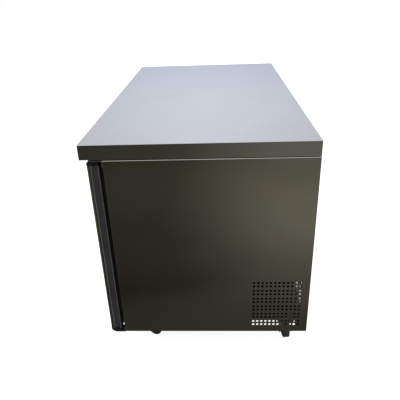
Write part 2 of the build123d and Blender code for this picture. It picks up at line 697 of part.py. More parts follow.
def hinge_bracket(low):
    """One L bracket with its pin. The lower one has its pin pointing up."""
    thick, gap, lip_tall = 3.0, 1.5, 18.0
    if low:
        leaf_z = (DOOR_LOW - gap - thick, DOOR_LOW - gap)
        lip_z = (leaf_z[0], leaf_z[1] + lip_tall)
        pin_z = (leaf_z[1] - 1, leaf_z[1] + PIN_LONG)
    else:
        leaf_z = (DOOR_HIGH + gap, DOOR_HIGH + gap + thick)
        lip_z = (leaf_z[0] - lip_tall, leaf_z[1])
        pin_z = (leaf_z[0] - PIN_LONG, leaf_z[0] + 1)
    pin = rod((HINGE_X, HINGE_Y, pin_z[0]), (HINGE_X, HINGE_Y, pin_z[1]), PIN_R)
    leaf = block((HINGE_X - 18, HALF - 3), (HINGE_Y, FRONT), leaf_z)
    nose = rod((HINGE_X, HINGE_Y, leaf_z[0]), (HINGE_X, HINGE_Y, leaf_z[1]), 13)
    lip = block((HINGE_X - 18, HALF - 3), (FRONT - thick, FRONT), lip_z)
    return leaf + nose + lip + pin


def hinge_brackets():
    """Two brackets on each side."""
    right = [hinge_bracket(True), hinge_bracket(False)]
    return right + [mirrored(bracket) for bracket in right]


# Right door, drawn at its closed place


def door_end_cap(top):
    """The moulded cap on a door's end, rounded at its front, with the bearing for the hinge pin."""
    low, high = (DOOR_HIGH - CAP_HIGH, DOOR_HIGH) if top else (DOOR_LOW, DOOR_LOW + CAP_LOW)
    radius = CAP_ROUND_HIGH if top else CAP_ROUND_LOW
    proud = 0.6
    cap = block((DOOR_IN, DOOR_OUT + proud), (DOOR_FRONT - proud, DOOR_BACK), (low, high))
    outer_edge = edges_on_face(cap, Axis.Z, high if top else low).filter_by(Axis.X).sort_by(Axis.Y)[:1]
    side_view = fillet(outer_edge, radius)
    plan_view = fillet(cap.edges().filter_by(Axis.Z).sort_by(Axis.Y)[:2], DOOR_ROUND)
    cap = side_view & plan_view
    boss = (DOOR_HIGH - CAP_HIGH - BOSS_LONG, high) if top else (low, DOOR_LOW + CAP_LOW + BOSS_LONG)
    cap += rod((HINGE_X, HINGE_Y, boss[0]), (HINGE_X, HINGE_Y, boss[1]), BOSS_R)
    return cap - rod((HINGE_X, HINGE_Y, 0), (HINGE_X, HINGE_Y, HEIGHT), PIN_R + RUN_FIT)


def door_shell(inset):
    """The outside of the door's skin between the caps, taken in by that much."""
    shell = block(
        (DOOR_IN + inset, DOOR_OUT - inset),
        (DOOR_FRONT + inset, SKIN_BACK),
        (DOOR_LOW + CAP_LOW, DOOR_HIGH - CAP_HIGH),
    )
    return fillet(shell.edges().filter_by(Axis.Z).sort_by(Axis.Y)[:2], DOOR_ROUND - inset)


def door_skin():
    """The door's front sheet, rolled round both upright edges."""
    return door_shell(0.0) - door_shell(SHEET) - handle_cutout()


def handle_cutout():
    """The hole for the handle's cup."""
    return block(HANDLE_X, (DOOR_FRONT - 3, DOOR_FRONT + HANDLE_DEEP), HANDLE_Z)


def plug(grow):
    """The raised middle of the door's inner face."""
    return block(
        (60 - grow, 533 + grow),
        (DOOR_BACK - PANEL_WALL - 1, DOOR_BACK + 7 + grow),
        (152 - grow, 694 + grow),
    )


def door_inner_panel():
    """The thermoformed inner face of the door and its sides, behind the skin."""
    zs = (DOOR_LOW + CAP_LOW, DOOR_HIGH - CAP_HIGH)
    panel = block((DOOR_IN + 1, DOOR_OUT - 1), (SKIN_BACK, DOOR_BACK), zs)
    panel += fillet(plug(0.0).edges().filter_by(Axis.Y), 12)
    return panel - door_panel_room() - bearing_room(0.3)


def bearing_room(clear):
    """The room that the end caps' bearings take inside the door."""
    low_end = DOOR_LOW + CAP_LOW + BOSS_LONG + clear
    high_end = DOOR_HIGH - CAP_HIGH - BOSS_LONG - clear
    low = rod((HINGE_X, HINGE_Y, DOOR_LOW), (HINGE_X, HINGE_Y, low_end), BOSS_R + clear)
    high = rod((HINGE_X, HINGE_Y, high_end), (HINGE_X, HINGE_Y, DOOR_HIGH), BOSS_R + clear)
    return [low, high]


def door_panel_room():
    """The inside of the door's inner panel."""
    wall = PANEL_WALL
    room = block(
        (DOOR_IN + 1 + wall, DOOR_OUT - 1 - wall),
        (SKIN_BACK - 1, DOOR_BACK - wall),
        (DOOR_LOW + CAP_LOW - 1, DOOR_HIGH - CAP_HIGH + 1),
    )
    return room + fillet(plug(-wall).edges().filter_by(Axis.Y), 10)


def door_foam():
    """Foam that fills the door."""
    zs = (DOOR_LOW + CAP_LOW, DOOR_HIGH - CAP_HIGH)
    foam = door_shell(SHEET) + (door_panel_room() & block((0, HALF), (SKIN_BACK, FRONT), zs))
    return foam - block(HANDLE_X, (DOOR_FRONT, DOOR_FRONT + HANDLE_DEEP), HANDLE_Z) - bearing_room(0.3)


def door_gasket():
    """The magnetic seal: a base strip, a soft neck and the magnet's tube, in one frame."""
    outer_x, outer_z = (16.0, 573.0), (121.0, 727.0)

    def slab(inset, ys):
        return block((outer_x[0] + inset, outer_x[1] - inset), ys, (outer_z[0] + inset, outer_z[1] - inset))

    def band(inset, wide, ys):
        return slab(inset, ys) - slab(inset + wide, (ys[0] - 1, ys[1] + 1))

    base = band(0.0, 15.0, (DOOR_BACK, DOOR_BACK + 3))
    neck = band(4.0, 7.0, (DOOR_BACK + 3, DOOR_BACK + 7.5))
    head = band(1.5, 12.0, (DOOR_BACK + 7.5, SEAL_FACE))
    return base + neck + head


def door_handle():
    """The moulded finger cup, with a rim over the skin."""
    rim_wide, wall = 5.0, 2.0
    rim = block(
        (HANDLE_X[0] - rim_wide, HANDLE_X[1] + rim_wide),
        (DOOR_FRONT - 2, DOOR_FRONT),
        (HANDLE_Z[0] - rim_wide, HANDLE_Z[1] + rim_wide),
    )
    rim = fillet(rim.edges().filter_by(Axis.Y), 6)
    rim = fillet(edges_on_face(rim, Axis.Y, DOOR_FRONT - 2), 1.2)
    cup = block(HANDLE_X, (DOOR_FRONT - 1, DOOR_FRONT + HANDLE_DEEP), HANDLE_Z)
    hollow = block(
        (HANDLE_X[0] + wall, HANDLE_X[1] - wall),
        (DOOR_FRONT - 3, DOOR_FRONT + HANDLE_DEEP - wall),
        (HANDLE_Z[0] + wall, HANDLE_Z[1] - wall),
    )
    hollow = fillet(hollow.edges().filter_by(Axis.Y), 4)
    return rim + cup - hollow


# Controller


def controller():
    """The digital controller's case and bezel, with a window opening and three key holes."""
    case = controller_cutout(-0.3) & block((0, HALF), (TOP_FRONT, 0), (0, HEIGHT))
    bezel = block(
        (KEYPAD_X - BEZEL_WIDE / 2, KEYPAD_X + BEZEL_WIDE / 2),
        (TOP_FRONT - BEZEL_PROUD, TOP_FRONT),
        (KEYPAD_Z - BEZEL_TALL / 2, KEYPAD_Z + BEZEL_TALL / 2),
    )
    bezel = fillet(bezel.edges().filter_by(Axis.Y), 3)
    made = case + bezel - window_block()
    front = TOP_FRONT - BEZEL_PROUD
    for offset in KEYS.values():
        x = KEYPAD_X + offset
        made -= rod((x, front - 1, KEYPAD_Z), (x, front + KEY_LONG + 1.0, KEYPAD_Z), KEY_R + 0.3)
    return made


def window_block():
    """The smoked window over the display's figures."""
    return block(
        (KEYPAD_X - 33, KEYPAD_X + 6),
        (TOP_FRONT - BEZEL_PROUD, TOP_FRONT + 1),
        (KEYPAD_Z - 11, KEYPAD_Z + 11),
    )


def key(offset):
    """One round key, standing proud of the bezel."""
    front = TOP_FRONT - BEZEL_PROUD
    x = KEYPAD_X + offset
    cap = rod((x, front - KEY_PROUD, KEYPAD_Z), (x, front - KEY_PROUD + KEY_LONG, KEYPAD_Z), KEY_R)
    return fillet(edges_on_face(cap, Axis.Y, front - KEY_PROUD), 0.5)


# Casters, drawn with the swivel axis on Z and the wheel trailing along +X


def caster_plate():
    """The fixed top: plate, upper race and the king pin with its riveted head."""
    plate_low = CASTER_TALL - 2.5
    half = PLATE_SIDE / 2
    plate = block((-half, half), (-half, half), (plate_low, CASTER_TALL))
    plate = fillet(plate.edges().filter_by(Axis.Z), 5)
    race = fillet(edges_on_face(rod((0, 0, RACE_LOW), (0, 0, plate_low), RACE_R), Axis.Z, RACE_LOW), 2)
    pin = rod((0, 0, RACE_LOW - 9.0), (0, 0, RACE_LOW + 1), KING_PIN_R)
    head = rod((0, 0, RACE_LOW - 9.0), (0, 0, RACE_LOW - 6.4), KING_PIN_R + 3)
    holes = [rod((x, y, plate_low - 1), (x, y, CASTER_TALL + 1), BOLT_R + 0.3) for x, y in bolt_spots()]
    return plate + race + pin + head - holes


def caster_bolts():
    """Hexagon bolts up through the plates into the frame."""
    head_low = CASTER_TALL - 2.5 - 4.0
    head = extrude(RegularPolygon(radius=5.8, side_count=6), amount=4.0)
    bolt = Pos(0, 0, head_low) * head + rod((0, 0, head_low), (0, 0, CASTER_TALL + 10), BOLT_R)
    return at_casters([Pos(x, y, 0) * bolt for x, y in bolt_spots()])


def caster_fork():
    """The swivelling fork: a round crown and two legs down to the axle."""
    crown_low = RACE_LOW - 6.0
    crown = rod((0, 0, crown_low), (0, 0, RACE_LOW - 0.3), RACE_R - 1)
    crown = fillet(edges_on_face(crown, Axis.Z, crown_low), 1.5)
    top = crown_low + 3
    half = LEG_END_R
    outline = Polygon(
        (TRAIL - half, WHEEL_R),
        (TRAIL + half, WHEEL_R),
        (TRAIL + half, WHEEL_R + 5),
        (15, top),
        (-15, top),
        (-12, top - 8),
        align=None,
    )
    profile = outline + Pos(TRAIL, WHEEL_R) * Circle(LEG_END_R)
    fork = crown
    for side in (-1, 1):
        fork += upright_plate(profile, side * (LEG_INSIDE + LEG_THICK / 2), LEG_THICK)
    fork -= rod((0, 0, crown_low - 1), (0, 0, RACE_LOW), KING_PIN_R + RUN_FIT)
    fork -= rod((TRAIL, -HALF, WHEEL_R), (TRAIL, HALF, WHEEL_R), AXLE_R)
    return [fork, axle_bolt()]


def upright_plate(profile, middle_y, thick):
    """A flat plate in the XZ plane, centred on that Y."""
    face = Plane(origin=(0, middle_y + thick / 2, 0), x_dir=(1, 0, 0), z_dir=(0, -1, 0))
    return extrude(face * profile, amount=thick, dir=(0, -1, 0))


def axle_bolt():
    """The axle: a bolt through the legs, headed at both ends outside the brake's arms."""
    inner, head = LEG_INSIDE + LEG_THICK + 2.6, 3.6
    bolt = rod((TRAIL, -inner - head, WHEEL_R), (TRAIL, inner + head, WHEEL_R), AXLE_R)
    for side in (-1, 1):
        bolt += rod((TRAIL, side * inner, WHEEL_R), (TRAIL, side * (inner + head), WHEEL_R), 6.0)
    return bolt


def caster_wheel():
    """A moulded wheel with a rounded tread, dished sides and a hub."""
    half = WHEEL_WIDE / 2
    wheel = rod((TRAIL, -half, WHEEL_R), (TRAIL, half, WHEEL_R), WHEEL_R)
    wheel = fillet(wheel.edges(), 4)
    for side in (-1, 1):
        wheel -= ring((TRAIL, side * (half - 4), WHEEL_R), (TRAIL, side * (half + 2), WHEEL_R), 17.5, 9)
    hub_half = LEG_INSIDE - 0.4
    wheel += rod((TRAIL, -hub_half, WHEEL_R), (TRAIL, hub_half, WHEEL_R), 8.5)
    return wheel - rod((TRAIL, -2 * half, WHEEL_R), (TRAIL, 2 * half, WHEEL_R), AXLE_R + RUN_FIT)


def caster_brake():
    """The foot brake: two arms on the axle and a tread plate behind the wheel."""
    tip_x, tip_z = TRAIL + 30.0, WHEEL_R + 18.0
    thick, arm_y = 1.6, LEG_INSIDE + LEG_THICK + 1.2
    arm = Polygon(
        (TRAIL - 4, WHEEL_R + 5),
        (TRAIL + 4, WHEEL_R - 5),
        (tip_x + 2, tip_z - 4),
        (tip_x + 2, tip_z + 2),
        (tip_x - 4, tip_z + 2),
        align=None,
    )
    arm = arm + Pos(TRAIL, WHEEL_R) * Circle(6.5)
    made = upright_plate(arm, arm_y, thick) + upright_plate(arm, -arm_y, thick)
    made -= rod((TRAIL, -HALF, WHEEL_R), (TRAIL, HALF, WHEEL_R), AXLE_R + RUN_FIT)
    half = arm_y + thick / 2
    tread = block((tip_x - 4, tip_x + 14), (-half, half), (tip_z, tip_z + 2.5))
    return made + fillet(tread.edges().filter_by(Axis.Z), 2.5)


# All the nodes

nodes["worktop_sheet"] = worktop_sheet()
nodes["worktop_core"] = worktop_core()
nodes["side_panel_right"] = side_panel()
nodes["side_panel_left"] = mirrored(nodes["side_panel_right"])
nodes["top_plate"] = top_plate()
nodes["base_pan"] = base_pan()
nodes["rear_panel"] = rear_panel()
nodes["rear_grille"] = rear_grille()
nodes["grille_screws"] = grille_screws()
nodes["cable_gland"] = cable_gland()
nodes["base_frame"] = base_frame()
nodes["insulation"] = insulation()
nodes["inner_liner"] = inner_liner()
nodes["front_frame"] = front_frame()
nodes["wire_shelves"] = [shelf(), mirrored(shelf())]
nodes["shelf_supports"] = shelf_supports()
nodes["evaporator_coil"] = evaporator_coil()
nodes["evaporator_cover"] = evaporator_cover()
nodes["evaporator_fan_motor"] = evaporator_fan_motor()
nodes["evaporator_fan_blade"] = evaporator_fan_blade()
nodes["compressor_tray"] = compressor_tray()
nodes["compressor_grommets"] = compressor_grommets()
nodes["compressor"] = compressor()
nodes["relay_box"] = relay_box()
nodes["condenser"] = condenser()
nodes["condenser_shroud"] = condenser_shroud()
nodes["condenser_fan_motor"] = condenser_fan_motor()
nodes["condenser_fan_blade"] = condenser_fan_blade()
nodes["refrigerant_lines"] = refrigerant_lines()
nodes["condensate_pan"] = condensate_pan()
nodes["hinge_brackets"] = hinge_brackets()
for piece, made in {
    "skin": door_skin(),
    "foam": door_foam(),
    "inner_panel": door_inner_panel(),
    "gasket": door_gasket(),
    "handle": door_handle(),
    "end_caps": [door_end_cap(False), door_end_cap(True)],
}.items():
    made = made if isinstance(made, list) else [made]
    nodes[f"door_right_{piece}"] = made
    nodes[f"door_left_{piece}"] = [mirrored(shape) for shape in made]
nodes["controller"] = controller()
nodes["controller_window"] = window_block()
for name, offset in KEYS.items():
    nodes[f"key_{name}"] = key(offset)
nodes["caster_plates"] = at_casters([caster_plate()])
nodes["caster_bolts"] = caster_bolts()
for name, (side, end, angle) in CASTERS.items():
    place = caster_place(side, end, angle)
    nodes[f"caster_fork_{name}"] = [place * shape for shape in caster_fork()]
    nodes[f"caster_wheel_{name}"] = place * caster_wheel()
    if end == "front":
        nodes[f"caster_brake_{name}"] = place * caster_brake()

os.makedirs("parts", exist_ok=True)
for name, made in nodes.items():
    solids = [solid for shape in (made if isinstance(made, list) else [made]) for solid in shape.solids()]
    export_step(solids[0] if len(solids) == 1 else Compound(children=solids), f"parts/{name}.step")
print(len(nodes), "nodes")
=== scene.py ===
"""A two-door worktop freezer counter on casters: its looks, built around its CAD frame."""

import bmesh
import bpy
import json
import math
from mathutils import Matrix, Vector


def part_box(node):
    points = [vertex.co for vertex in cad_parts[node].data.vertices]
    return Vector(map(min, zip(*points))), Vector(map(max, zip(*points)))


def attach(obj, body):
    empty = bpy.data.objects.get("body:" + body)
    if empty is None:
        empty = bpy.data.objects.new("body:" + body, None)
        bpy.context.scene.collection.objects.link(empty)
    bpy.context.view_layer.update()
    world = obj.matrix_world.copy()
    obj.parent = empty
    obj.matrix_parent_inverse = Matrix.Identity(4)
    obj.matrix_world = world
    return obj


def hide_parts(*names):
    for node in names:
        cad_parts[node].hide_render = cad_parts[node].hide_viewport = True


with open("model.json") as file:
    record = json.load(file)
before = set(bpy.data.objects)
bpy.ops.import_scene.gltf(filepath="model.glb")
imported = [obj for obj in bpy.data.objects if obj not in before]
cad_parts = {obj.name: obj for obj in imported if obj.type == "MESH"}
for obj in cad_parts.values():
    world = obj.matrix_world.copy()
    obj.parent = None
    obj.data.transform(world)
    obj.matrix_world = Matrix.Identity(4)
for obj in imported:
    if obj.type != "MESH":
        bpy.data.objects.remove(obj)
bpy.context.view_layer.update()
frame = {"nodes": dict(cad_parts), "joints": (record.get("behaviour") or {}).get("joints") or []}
nodes = frame["nodes"]
MM = 0.001

# The studio: the camera stands off the counter's right end and looks down on it. The floor is a lit sheet
# of white acrylic. Steel shows the room around it, so the room is dark below the horizon and pale above.

CAMERA_PLACE = (1.7123, 0.0569, 1.2161)
CAMERA_DOWN, CAMERA_TURN, CAMERA_ROLL = math.radians(24.15), math.radians(2.87), math.radians(-2.17)
bpy.context.scene.view_settings.view_transform = "Standard"
camera_data = bpy.data.cameras.new("camera")
camera_data.sensor_width = 36.0
camera_data.lens = 37.99
camera_data.shift_x = 0.0022
camera_data.shift_y = -0.0747
camera = bpy.data.objects.new("camera", camera_data)
bpy.context.scene.collection.objects.link(camera)
turned_round = Matrix.Rotation(math.pi / 2 + CAMERA_TURN, 4, "Z")
tipped_down = Matrix.Rotation(math.pi / 2 - CAMERA_DOWN, 4, "X")
rolled = Matrix.Rotation(CAMERA_ROLL, 4, "Z")
camera.matrix_world = Matrix.Translation(CAMERA_PLACE) @ turned_round @ tipped_down @ rolled
bpy.context.scene.camera = camera


def linear(hex_colour):
    """An sRGB hex colour as linear red, green, blue and alpha."""
    values = [int(hex_colour[i : i + 2], 16) / 255 for i in (1, 3, 5)]
    return [v / 12.92 if v <= 0.04045 else ((v + 0.055) / 1.055) ** 2.4 for v in values] + [1.0]


def add(tree, kind, inputs=None, **settings):
    """Adds a shader node with its settings, and its inputs as values or as links from sockets or nodes."""
    node = tree.nodes.new("ShaderNode" + kind)
    for name, value in settings.items():
        setattr(node, name, value)
    for socket, value in (inputs or {}).items():
        if isinstance(value, bpy.types.Node):
            value = value.outputs[0]
        if isinstance(value, bpy.types.NodeSocket):
            tree.links.new(value, node.inputs[socket])
        else:
            node.inputs[socket].default_value = value
    return node


def ramp(tree, factor, stops):
    """A colour ramp through the given places, each with a hex colour or a grey level."""
    node = add(tree, "ValToRGB", {"Fac": factor})
    bands = node.color_ramp.elements
    while len(bands) < len(stops):
        bands.new(0.5)
    for band, (place, colour) in zip(bands, stops.items()):
        band.position = place
        band.color = linear(colour) if isinstance(colour, str) else [colour] * 3 + [1.0]
    return node


def level(degrees):
    """Where a height over the horizon lies on the room's scale, from 0 straight down to 1 straight up."""
    return (math.sin(math.radians(degrees)) + 1) / 2


WALLS = {
    -90: "#34322b",
    -45: "#45433b",
    -40.6: "#46443b",
    -39.6: "#302f29",
    -38.6: "#2c2b26",
    -37.6: "#3a3831",
    -35: "#3f3e36",
    -31: "#403f38",
    -27: "#4b493f",
    -24: "#4d4b41",
    -21: "#3d3b32",
    -3: "#37352e",
    3: "#b4bed2",
    10: "#c5cfe2",
    14: "#e6edfb",
    19: "#e0e6f2",
    28: "#e3e7f0",
    90: "#f0f5ff",
}
# How bright the pale doorways are at each height: they end at the floor's edge, 41 degrees down.
DOORWAY_LIGHT = {
    -45: 0.03,
    -41.5: 0.05,
    -40.2: 0.30,
    -36: 0.37,
    -31.5: 0.76,
    -28: 0.72,
    -24: 0.46,
    -20: 0.56,
    -14: 0.35,
    -5: 0.1,
}
DOORWAY_BEARING, DOORWAY_SOFTNESS, DOORWAY_STRENGTH = math.radians(15), 1.5, 0.24
BAY_BEARING, BAY_DEPTH = math.radians(1), 0.1
SKY_TOP, SKY_TOP_HEIGHT = 1.2, 0.3
world = bpy.data.worlds.new("studio")
world.use_nodes = True
bpy.context.scene.world = world
room = world.node_tree
room.nodes.clear()
towards = add(room, "TexCoord").outputs["Generated"]
direction = add(room, "SeparateXYZ", {"Vector": towards}).outputs
height = add(room, "MapRange", {"Value": direction["Z"], "From Min": -1.0, "From Max": 1.0})
walls = ramp(room, height, {level(degrees): colour for degrees, colour in WALLS.items()})
sky_range = {"From Min": 0.0, "From Max": SKY_TOP_HEIGHT, "To Min": 1.0, "To Max": SKY_TOP}
sky = add(room, "MapRange", {"Value": direction["Z"], **sky_range})
bearing = add(room, "Math", {0: direction["Y"], 1: direction["X"]}, operation="ARCTAN2")
# The ceiling is lit in eight bays, a little darker where they meet.
eighths = add(room, "Math", {0: bearing, 1: 8.0, 2: -8 * BAY_BEARING}, operation="MULTIPLY_ADD")
bay = add(room, "Math", {0: eighths}, operation="COSINE")
bay = add(room, "Math", {0: bay, 1: BAY_DEPTH, 2: 1 - BAY_DEPTH}, operation="MULTIPLY_ADD")
overhead = add(room, "Math", {0: sky, 1: bay}, operation="MULTIPLY")
wall_light = add(room, "Background", {"Color": walls, "Strength": overhead})
# A doorway in each wall of the room, as soft vertical bands.
quarters = add(room, "Math", {0: bearing, 1: 4.0, 2: -4 * DOORWAY_BEARING}, operation="MULTIPLY_ADD")
wave = add(room, "Math", {0: quarters}, operation="COSINE")
wave = add(room, "Math", {0: wave, 1: 0.0}, operation="MAXIMUM")
across = add(room, "Math", {0: wave, 1: DOORWAY_SOFTNESS}, operation="POWER")
tall = ramp(room, height, {level(degrees): light for degrees, light in DOORWAY_LIGHT.items()})
opening = add(room, "Math", {0: across, 1: tall}, operation="MULTIPLY")
opening = add(room, "Math", {0: opening, 1: DOORWAY_STRENGTH}, operation="MULTIPLY")
door_light = add(room, "Background", {"Color": linear("#fffbea"), "Strength": opening})
seen = add(room, "AddShader", {0: wall_light, 1: door_light})
backdrop = add(room, "Background", {"Color": linear("#ffffff"), "Strength": 1.0})
direct = add(room, "LightPath").outputs["Is Camera Ray"]
shown = add(room, "MixShader", {"Fac": direct, 1: seen, 2: backdrop})
add(room, "OutputWorld", {"Surface": shown})

softbox_data = bpy.data.lights.new("softbox", "AREA")
softbox_data.shape = "RECTANGLE"
softbox_data.size, softbox_data.size_y = 3.2, 2.6
softbox_data.energy = 50.0
softbox = bpy.data.objects.new("softbox", softbox_data)
softbox.location = (0.6, 0.2, 3.2)
softbox.visible_glossy = False
bpy.context.scene.collection.objects.link(softbox)

FLOOR_HALF, FLOOR_GLOW = 30.0, 0.86
mesh = bpy.data.meshes.new("floor")
bm = bmesh.new()
bmesh.ops.create_grid(bm, x_segments=1, y_segments=1, size=FLOOR_HALF)
bm.to_mesh(mesh)
bm.free()
floor = bpy.data.objects.new("floor", mesh)
bpy.context.scene.collection.objects.link(floor)
floor.visible_glossy = False
acrylic = bpy.data.materials.new("lit_white_acrylic")
acrylic.use_nodes = True
tree = acrylic.node_tree
tree.nodes.clear()
place = add(tree, "TexCoord").outputs["Object"]
clouds = add(tree, "TexNoise", {"Vector": place, "Scale": 3.0, "Detail": 3.0})
shade = ramp(tree, clouds, {0.3: "#b8b8b8", 0.7: "#bebebe"})
sheet = add(tree, "BsdfDiffuse", {"Color": shade})
backlight = add(tree, "Emission", {"Color": linear("#ffffff"), "Strength": FLOOR_GLOW})
both = add(tree, "AddShader", {0: sheet, 1: backlight})
add(tree, "OutputMaterial", {"Surface": both})
mesh.materials.append(acrylic)

# The worktop: 1 mm 304 stainless steel with a fine satin finish, folded down and back under on all four
# sides. The satin blurs the room to a soft gradient, and a working top carries faint wipe marks.

SATIN_SPACING = 2.5 * MM  # real lines are 0.3 mm apart; these are drawn coarser, so that they show
WIPE_SIZE = 160 * MM


def new_material(name):
    """An empty material, its node tree, and the place on the piece that its patterns follow."""
    material = bpy.data.materials.new(name)
    material.use_nodes = True
    material.node_tree.nodes.clear()
    return material, material.node_tree, add(material.node_tree, "TexCoord").outputs["Object"]


def spread(tree, noise, low, high):
    """A noise, which mostly lies between 0.3 and 0.7, spread from the low value to the high one."""
    limits = {"From Min": 0.3, "From Max": 0.7, "To Min": low, "To Max": high}
    return add(tree, "MapRange", {"Value": noise, **limits})


def coat(material, *names):
    """Gives CAD nodes their finish."""
    for name in names:
        for slot in nodes[name].material_slots:
            slot.material = material


satin_stainless, tree, place = new_material("satin_304_stainless")
along = add(tree, "Mapping", {"Vector": place, "Scale": (0.02, 1.0, 1.0)})
lines = add(tree, "TexNoise", {"Vector": along, "Scale": 1 / SATIN_SPACING, "Detail": 3.0})
wipes = add(tree, "TexNoise", {"Vector": place, "Scale": 1 / WIPE_SIZE, "Detail": 3.0, "Distortion": 0.4})
colour = ramp(tree, lines, {0.25: "#cac7c5", 0.75: "#d0cdcb"})
rough = spread(tree, wipes, 0.15, 0.20)
grain = add(tree, "Bump", {"Height": lines, "Strength": 0.012, "Distance": 0.2 * MM})
finish = {"Base Color": colour, "Metallic": 1.0, "Roughness": rough, "Normal": grain}
steel = add(tree, "BsdfPrincipled", finish)
add(tree, "OutputMaterial", {"Surface": steel})
coat(satin_stainless, "worktop_sheet")

# The board inside the worktop: resin-bonded particle board. Pressed chips of light and dark wood lie flat
# in it.

CHIP_LENGTH = 7 * MM
particle_board, tree, place = new_material("particle_board")
flat = add(tree, "Mapping", {"Vector": place, "Scale": (1.0, 1.0, 3.0)})
chips = add(tree, "TexVoronoi", {"Vector": flat, "Scale": 1 / CHIP_LENGTH, "Randomness": 1.0})
fibre = add(tree, "TexNoise", {"Vector": place, "Scale": 1 / (2 * MM), "Detail": 4.0})
tone = add(tree, "Math", {0: chips.outputs["Color"], 1: fibre}, operation="MULTIPLY")
colour = ramp(tree, tone, {0.1: "#8a6a45", 0.35: "#b4905f", 0.7: "#cfae7d"})
pressed = add(tree, "Bump", {"Height": chips, "Strength": 0.4, "Distance": 0.4 * MM})
board = add(tree, "BsdfPrincipled", {"Base Color": colour, "Roughness": 0.85, "Normal": pressed})
add(tree, "OutputMaterial", {"Surface": board})
coat(particle_board, "worktop_core")

# The two end panels and the doors' skins: 1 mm bright-rolled stainless sheet, folded to pans. It is nearly
# a mirror, softened by the rolling, and never quite flat, so reflections waver; handling leaves broad dull
# smudges and a few fine scratches.

RIPPLE_SIZE = 300 * MM
SMUDGE_SIZE = 110 * MM
SCRATCH_SIZE = 5 * MM
bright_stainless, tree, place = new_material("bright_rolled_stainless")
ripple = add(tree, "TexNoise", {"Vector": place, "Scale": 1 / RIPPLE_SIZE, "Detail": 1.5})
smudge = add(tree, "TexNoise", {"Vector": place, "Scale": 1 / SMUDGE_SIZE, "Detail": 4.0})
colour = ramp(tree, smudge, {0.3: "#b7b4aa", 0.7: "#bebab1"})
rough = spread(tree, smudge, 0.09, 0.14)
stretch = add(tree, "Mapping", {"Vector": place, "Rotation": (0.4, 0.3, 0.2), "Scale": (1.0, 0.05, 1.0)})
scratch = add(tree, "TexNoise", {"Vector": stretch, "Scale": 1 / SCRATCH_SIZE, "Detail": 2.0})
fine = ramp(tree, scratch, {0.70: 0.0, 0.74: 1.0})
scored = add(tree, "Bump", {"Height": fine, "Strength": 0.02, "Distance": 0.1 * MM})
wave = add(tree, "Bump", {"Height": ripple, "Strength": 0.3, "Distance": 4.0 * MM, "Normal": scored})
finish = {"Base Color": colour, "Metallic": 1.0, "Roughness": rough, "Normal": wave}
steel = add(tree, "BsdfPrincipled", finish)
add(tree, "OutputMaterial", {"Surface": steel})
coat(bright_stainless, "side_panel_right", "side_panel_left", "door_right_skin", "door_left_skin")

# The sheets that aren't shown to customers: hot-dip galvanised steel. The zinc froze in spangles, flat
# crystals about 10 mm across, each with its own tone and gloss.

SPANGLE_SIZE = 10 * MM
galvanised, tree, place = new_material("hot_dip_galvanised_steel")
bent = add(tree, "TexNoise", {"Vector": place, "Scale": 1 / (12 * MM), "Detail": 2.0}).outputs["Color"]
jagged = add(tree, "VectorMath", {0: bent, 1: (0.004, 0.004, 0.004)}, operation="MULTIPLY")
jagged = add(tree, "VectorMath", {0: place, 1: jagged}, operation="ADD")
spangle = add(tree, "TexVoronoi", {"Vector": jagged, "Scale": 1 / SPANGLE_SIZE}).outputs["Color"]
colour = ramp(tree, spangle, {0.0: "#8f9396", 0.5: "#a3a7a9", 1.0: "#b7babb"})
rough = add(tree, "MapRange", {"Value": spangle, "To Min": 0.32, "To Max": 0.48})
zinc_skin = add(tree, "BsdfPrincipled", {"Base Color": colour, "Metallic": 0.9, "Roughness": rough})
add(tree, "OutputMaterial", {"Surface": zinc_skin})
coat(galvanised, "top_plate", "base_pan", "rear_panel", "compressor_tray")

# The ladder frame and the slotted rear cover: steel, powder coated black. Powder flows out to a fine
# orange peel.

PEEL_SIZE = 2.2 * MM
powder_coat, tree, place = new_material("black_powder_coat")
peel = add(tree, "TexNoise", {"Vector": place, "Scale": 1 / PEEL_SIZE, "Detail": 1.0})
dust = add(tree, "TexNoise", {"Vector": place, "Scale": 1 / (90 * MM), "Detail": 5.0})
colour = ramp(tree, dust, {0.4: "#151516", 0.75: "#222120"})
rough = spread(tree, dust, 0.38, 0.55)
relief = add(tree, "Bump", {"Height": peel, "Strength": 0.25, "Distance": 0.15 * MM})
paint = add(tree, "BsdfPrincipled", {"Base Color": colour, "Roughness": rough, "Normal": relief})
add(tree, "OutputMaterial", {"Surface": paint})
coat(powder_coat, "rear_grille", "base_frame")

# The screws of the rear cover and every hinge, plate and bolt: steel, bright zinc plated. The plating is
# pale, slightly blue, and clouded where it is thin.

zinc_plate, tree, place = new_material("bright_zinc_plating")
cloud = add(tree, "TexNoise", {"Vector": place, "Scale": 1 / (14 * MM), "Detail": 4.0})
colour = ramp(tree, cloud, {0.3: "#a4a7a9", 0.55: "#bcbfc1", 0.8: "#b9b4a6"})
rough = spread(tree, cloud, 0.24, 0.40)
plating = add(tree, "BsdfPrincipled", {"Base Color": colour, "Metallic": 1.0, "Roughness": rough})
add(tree, "OutputMaterial", {"Surface": plating})
SHARP_EDGE = math.radians(35)


def middle_of(node):
    """The middle of a CAD node's box."""
    low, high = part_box(node)
    return (Vector(low) + Vector(high)) / 2


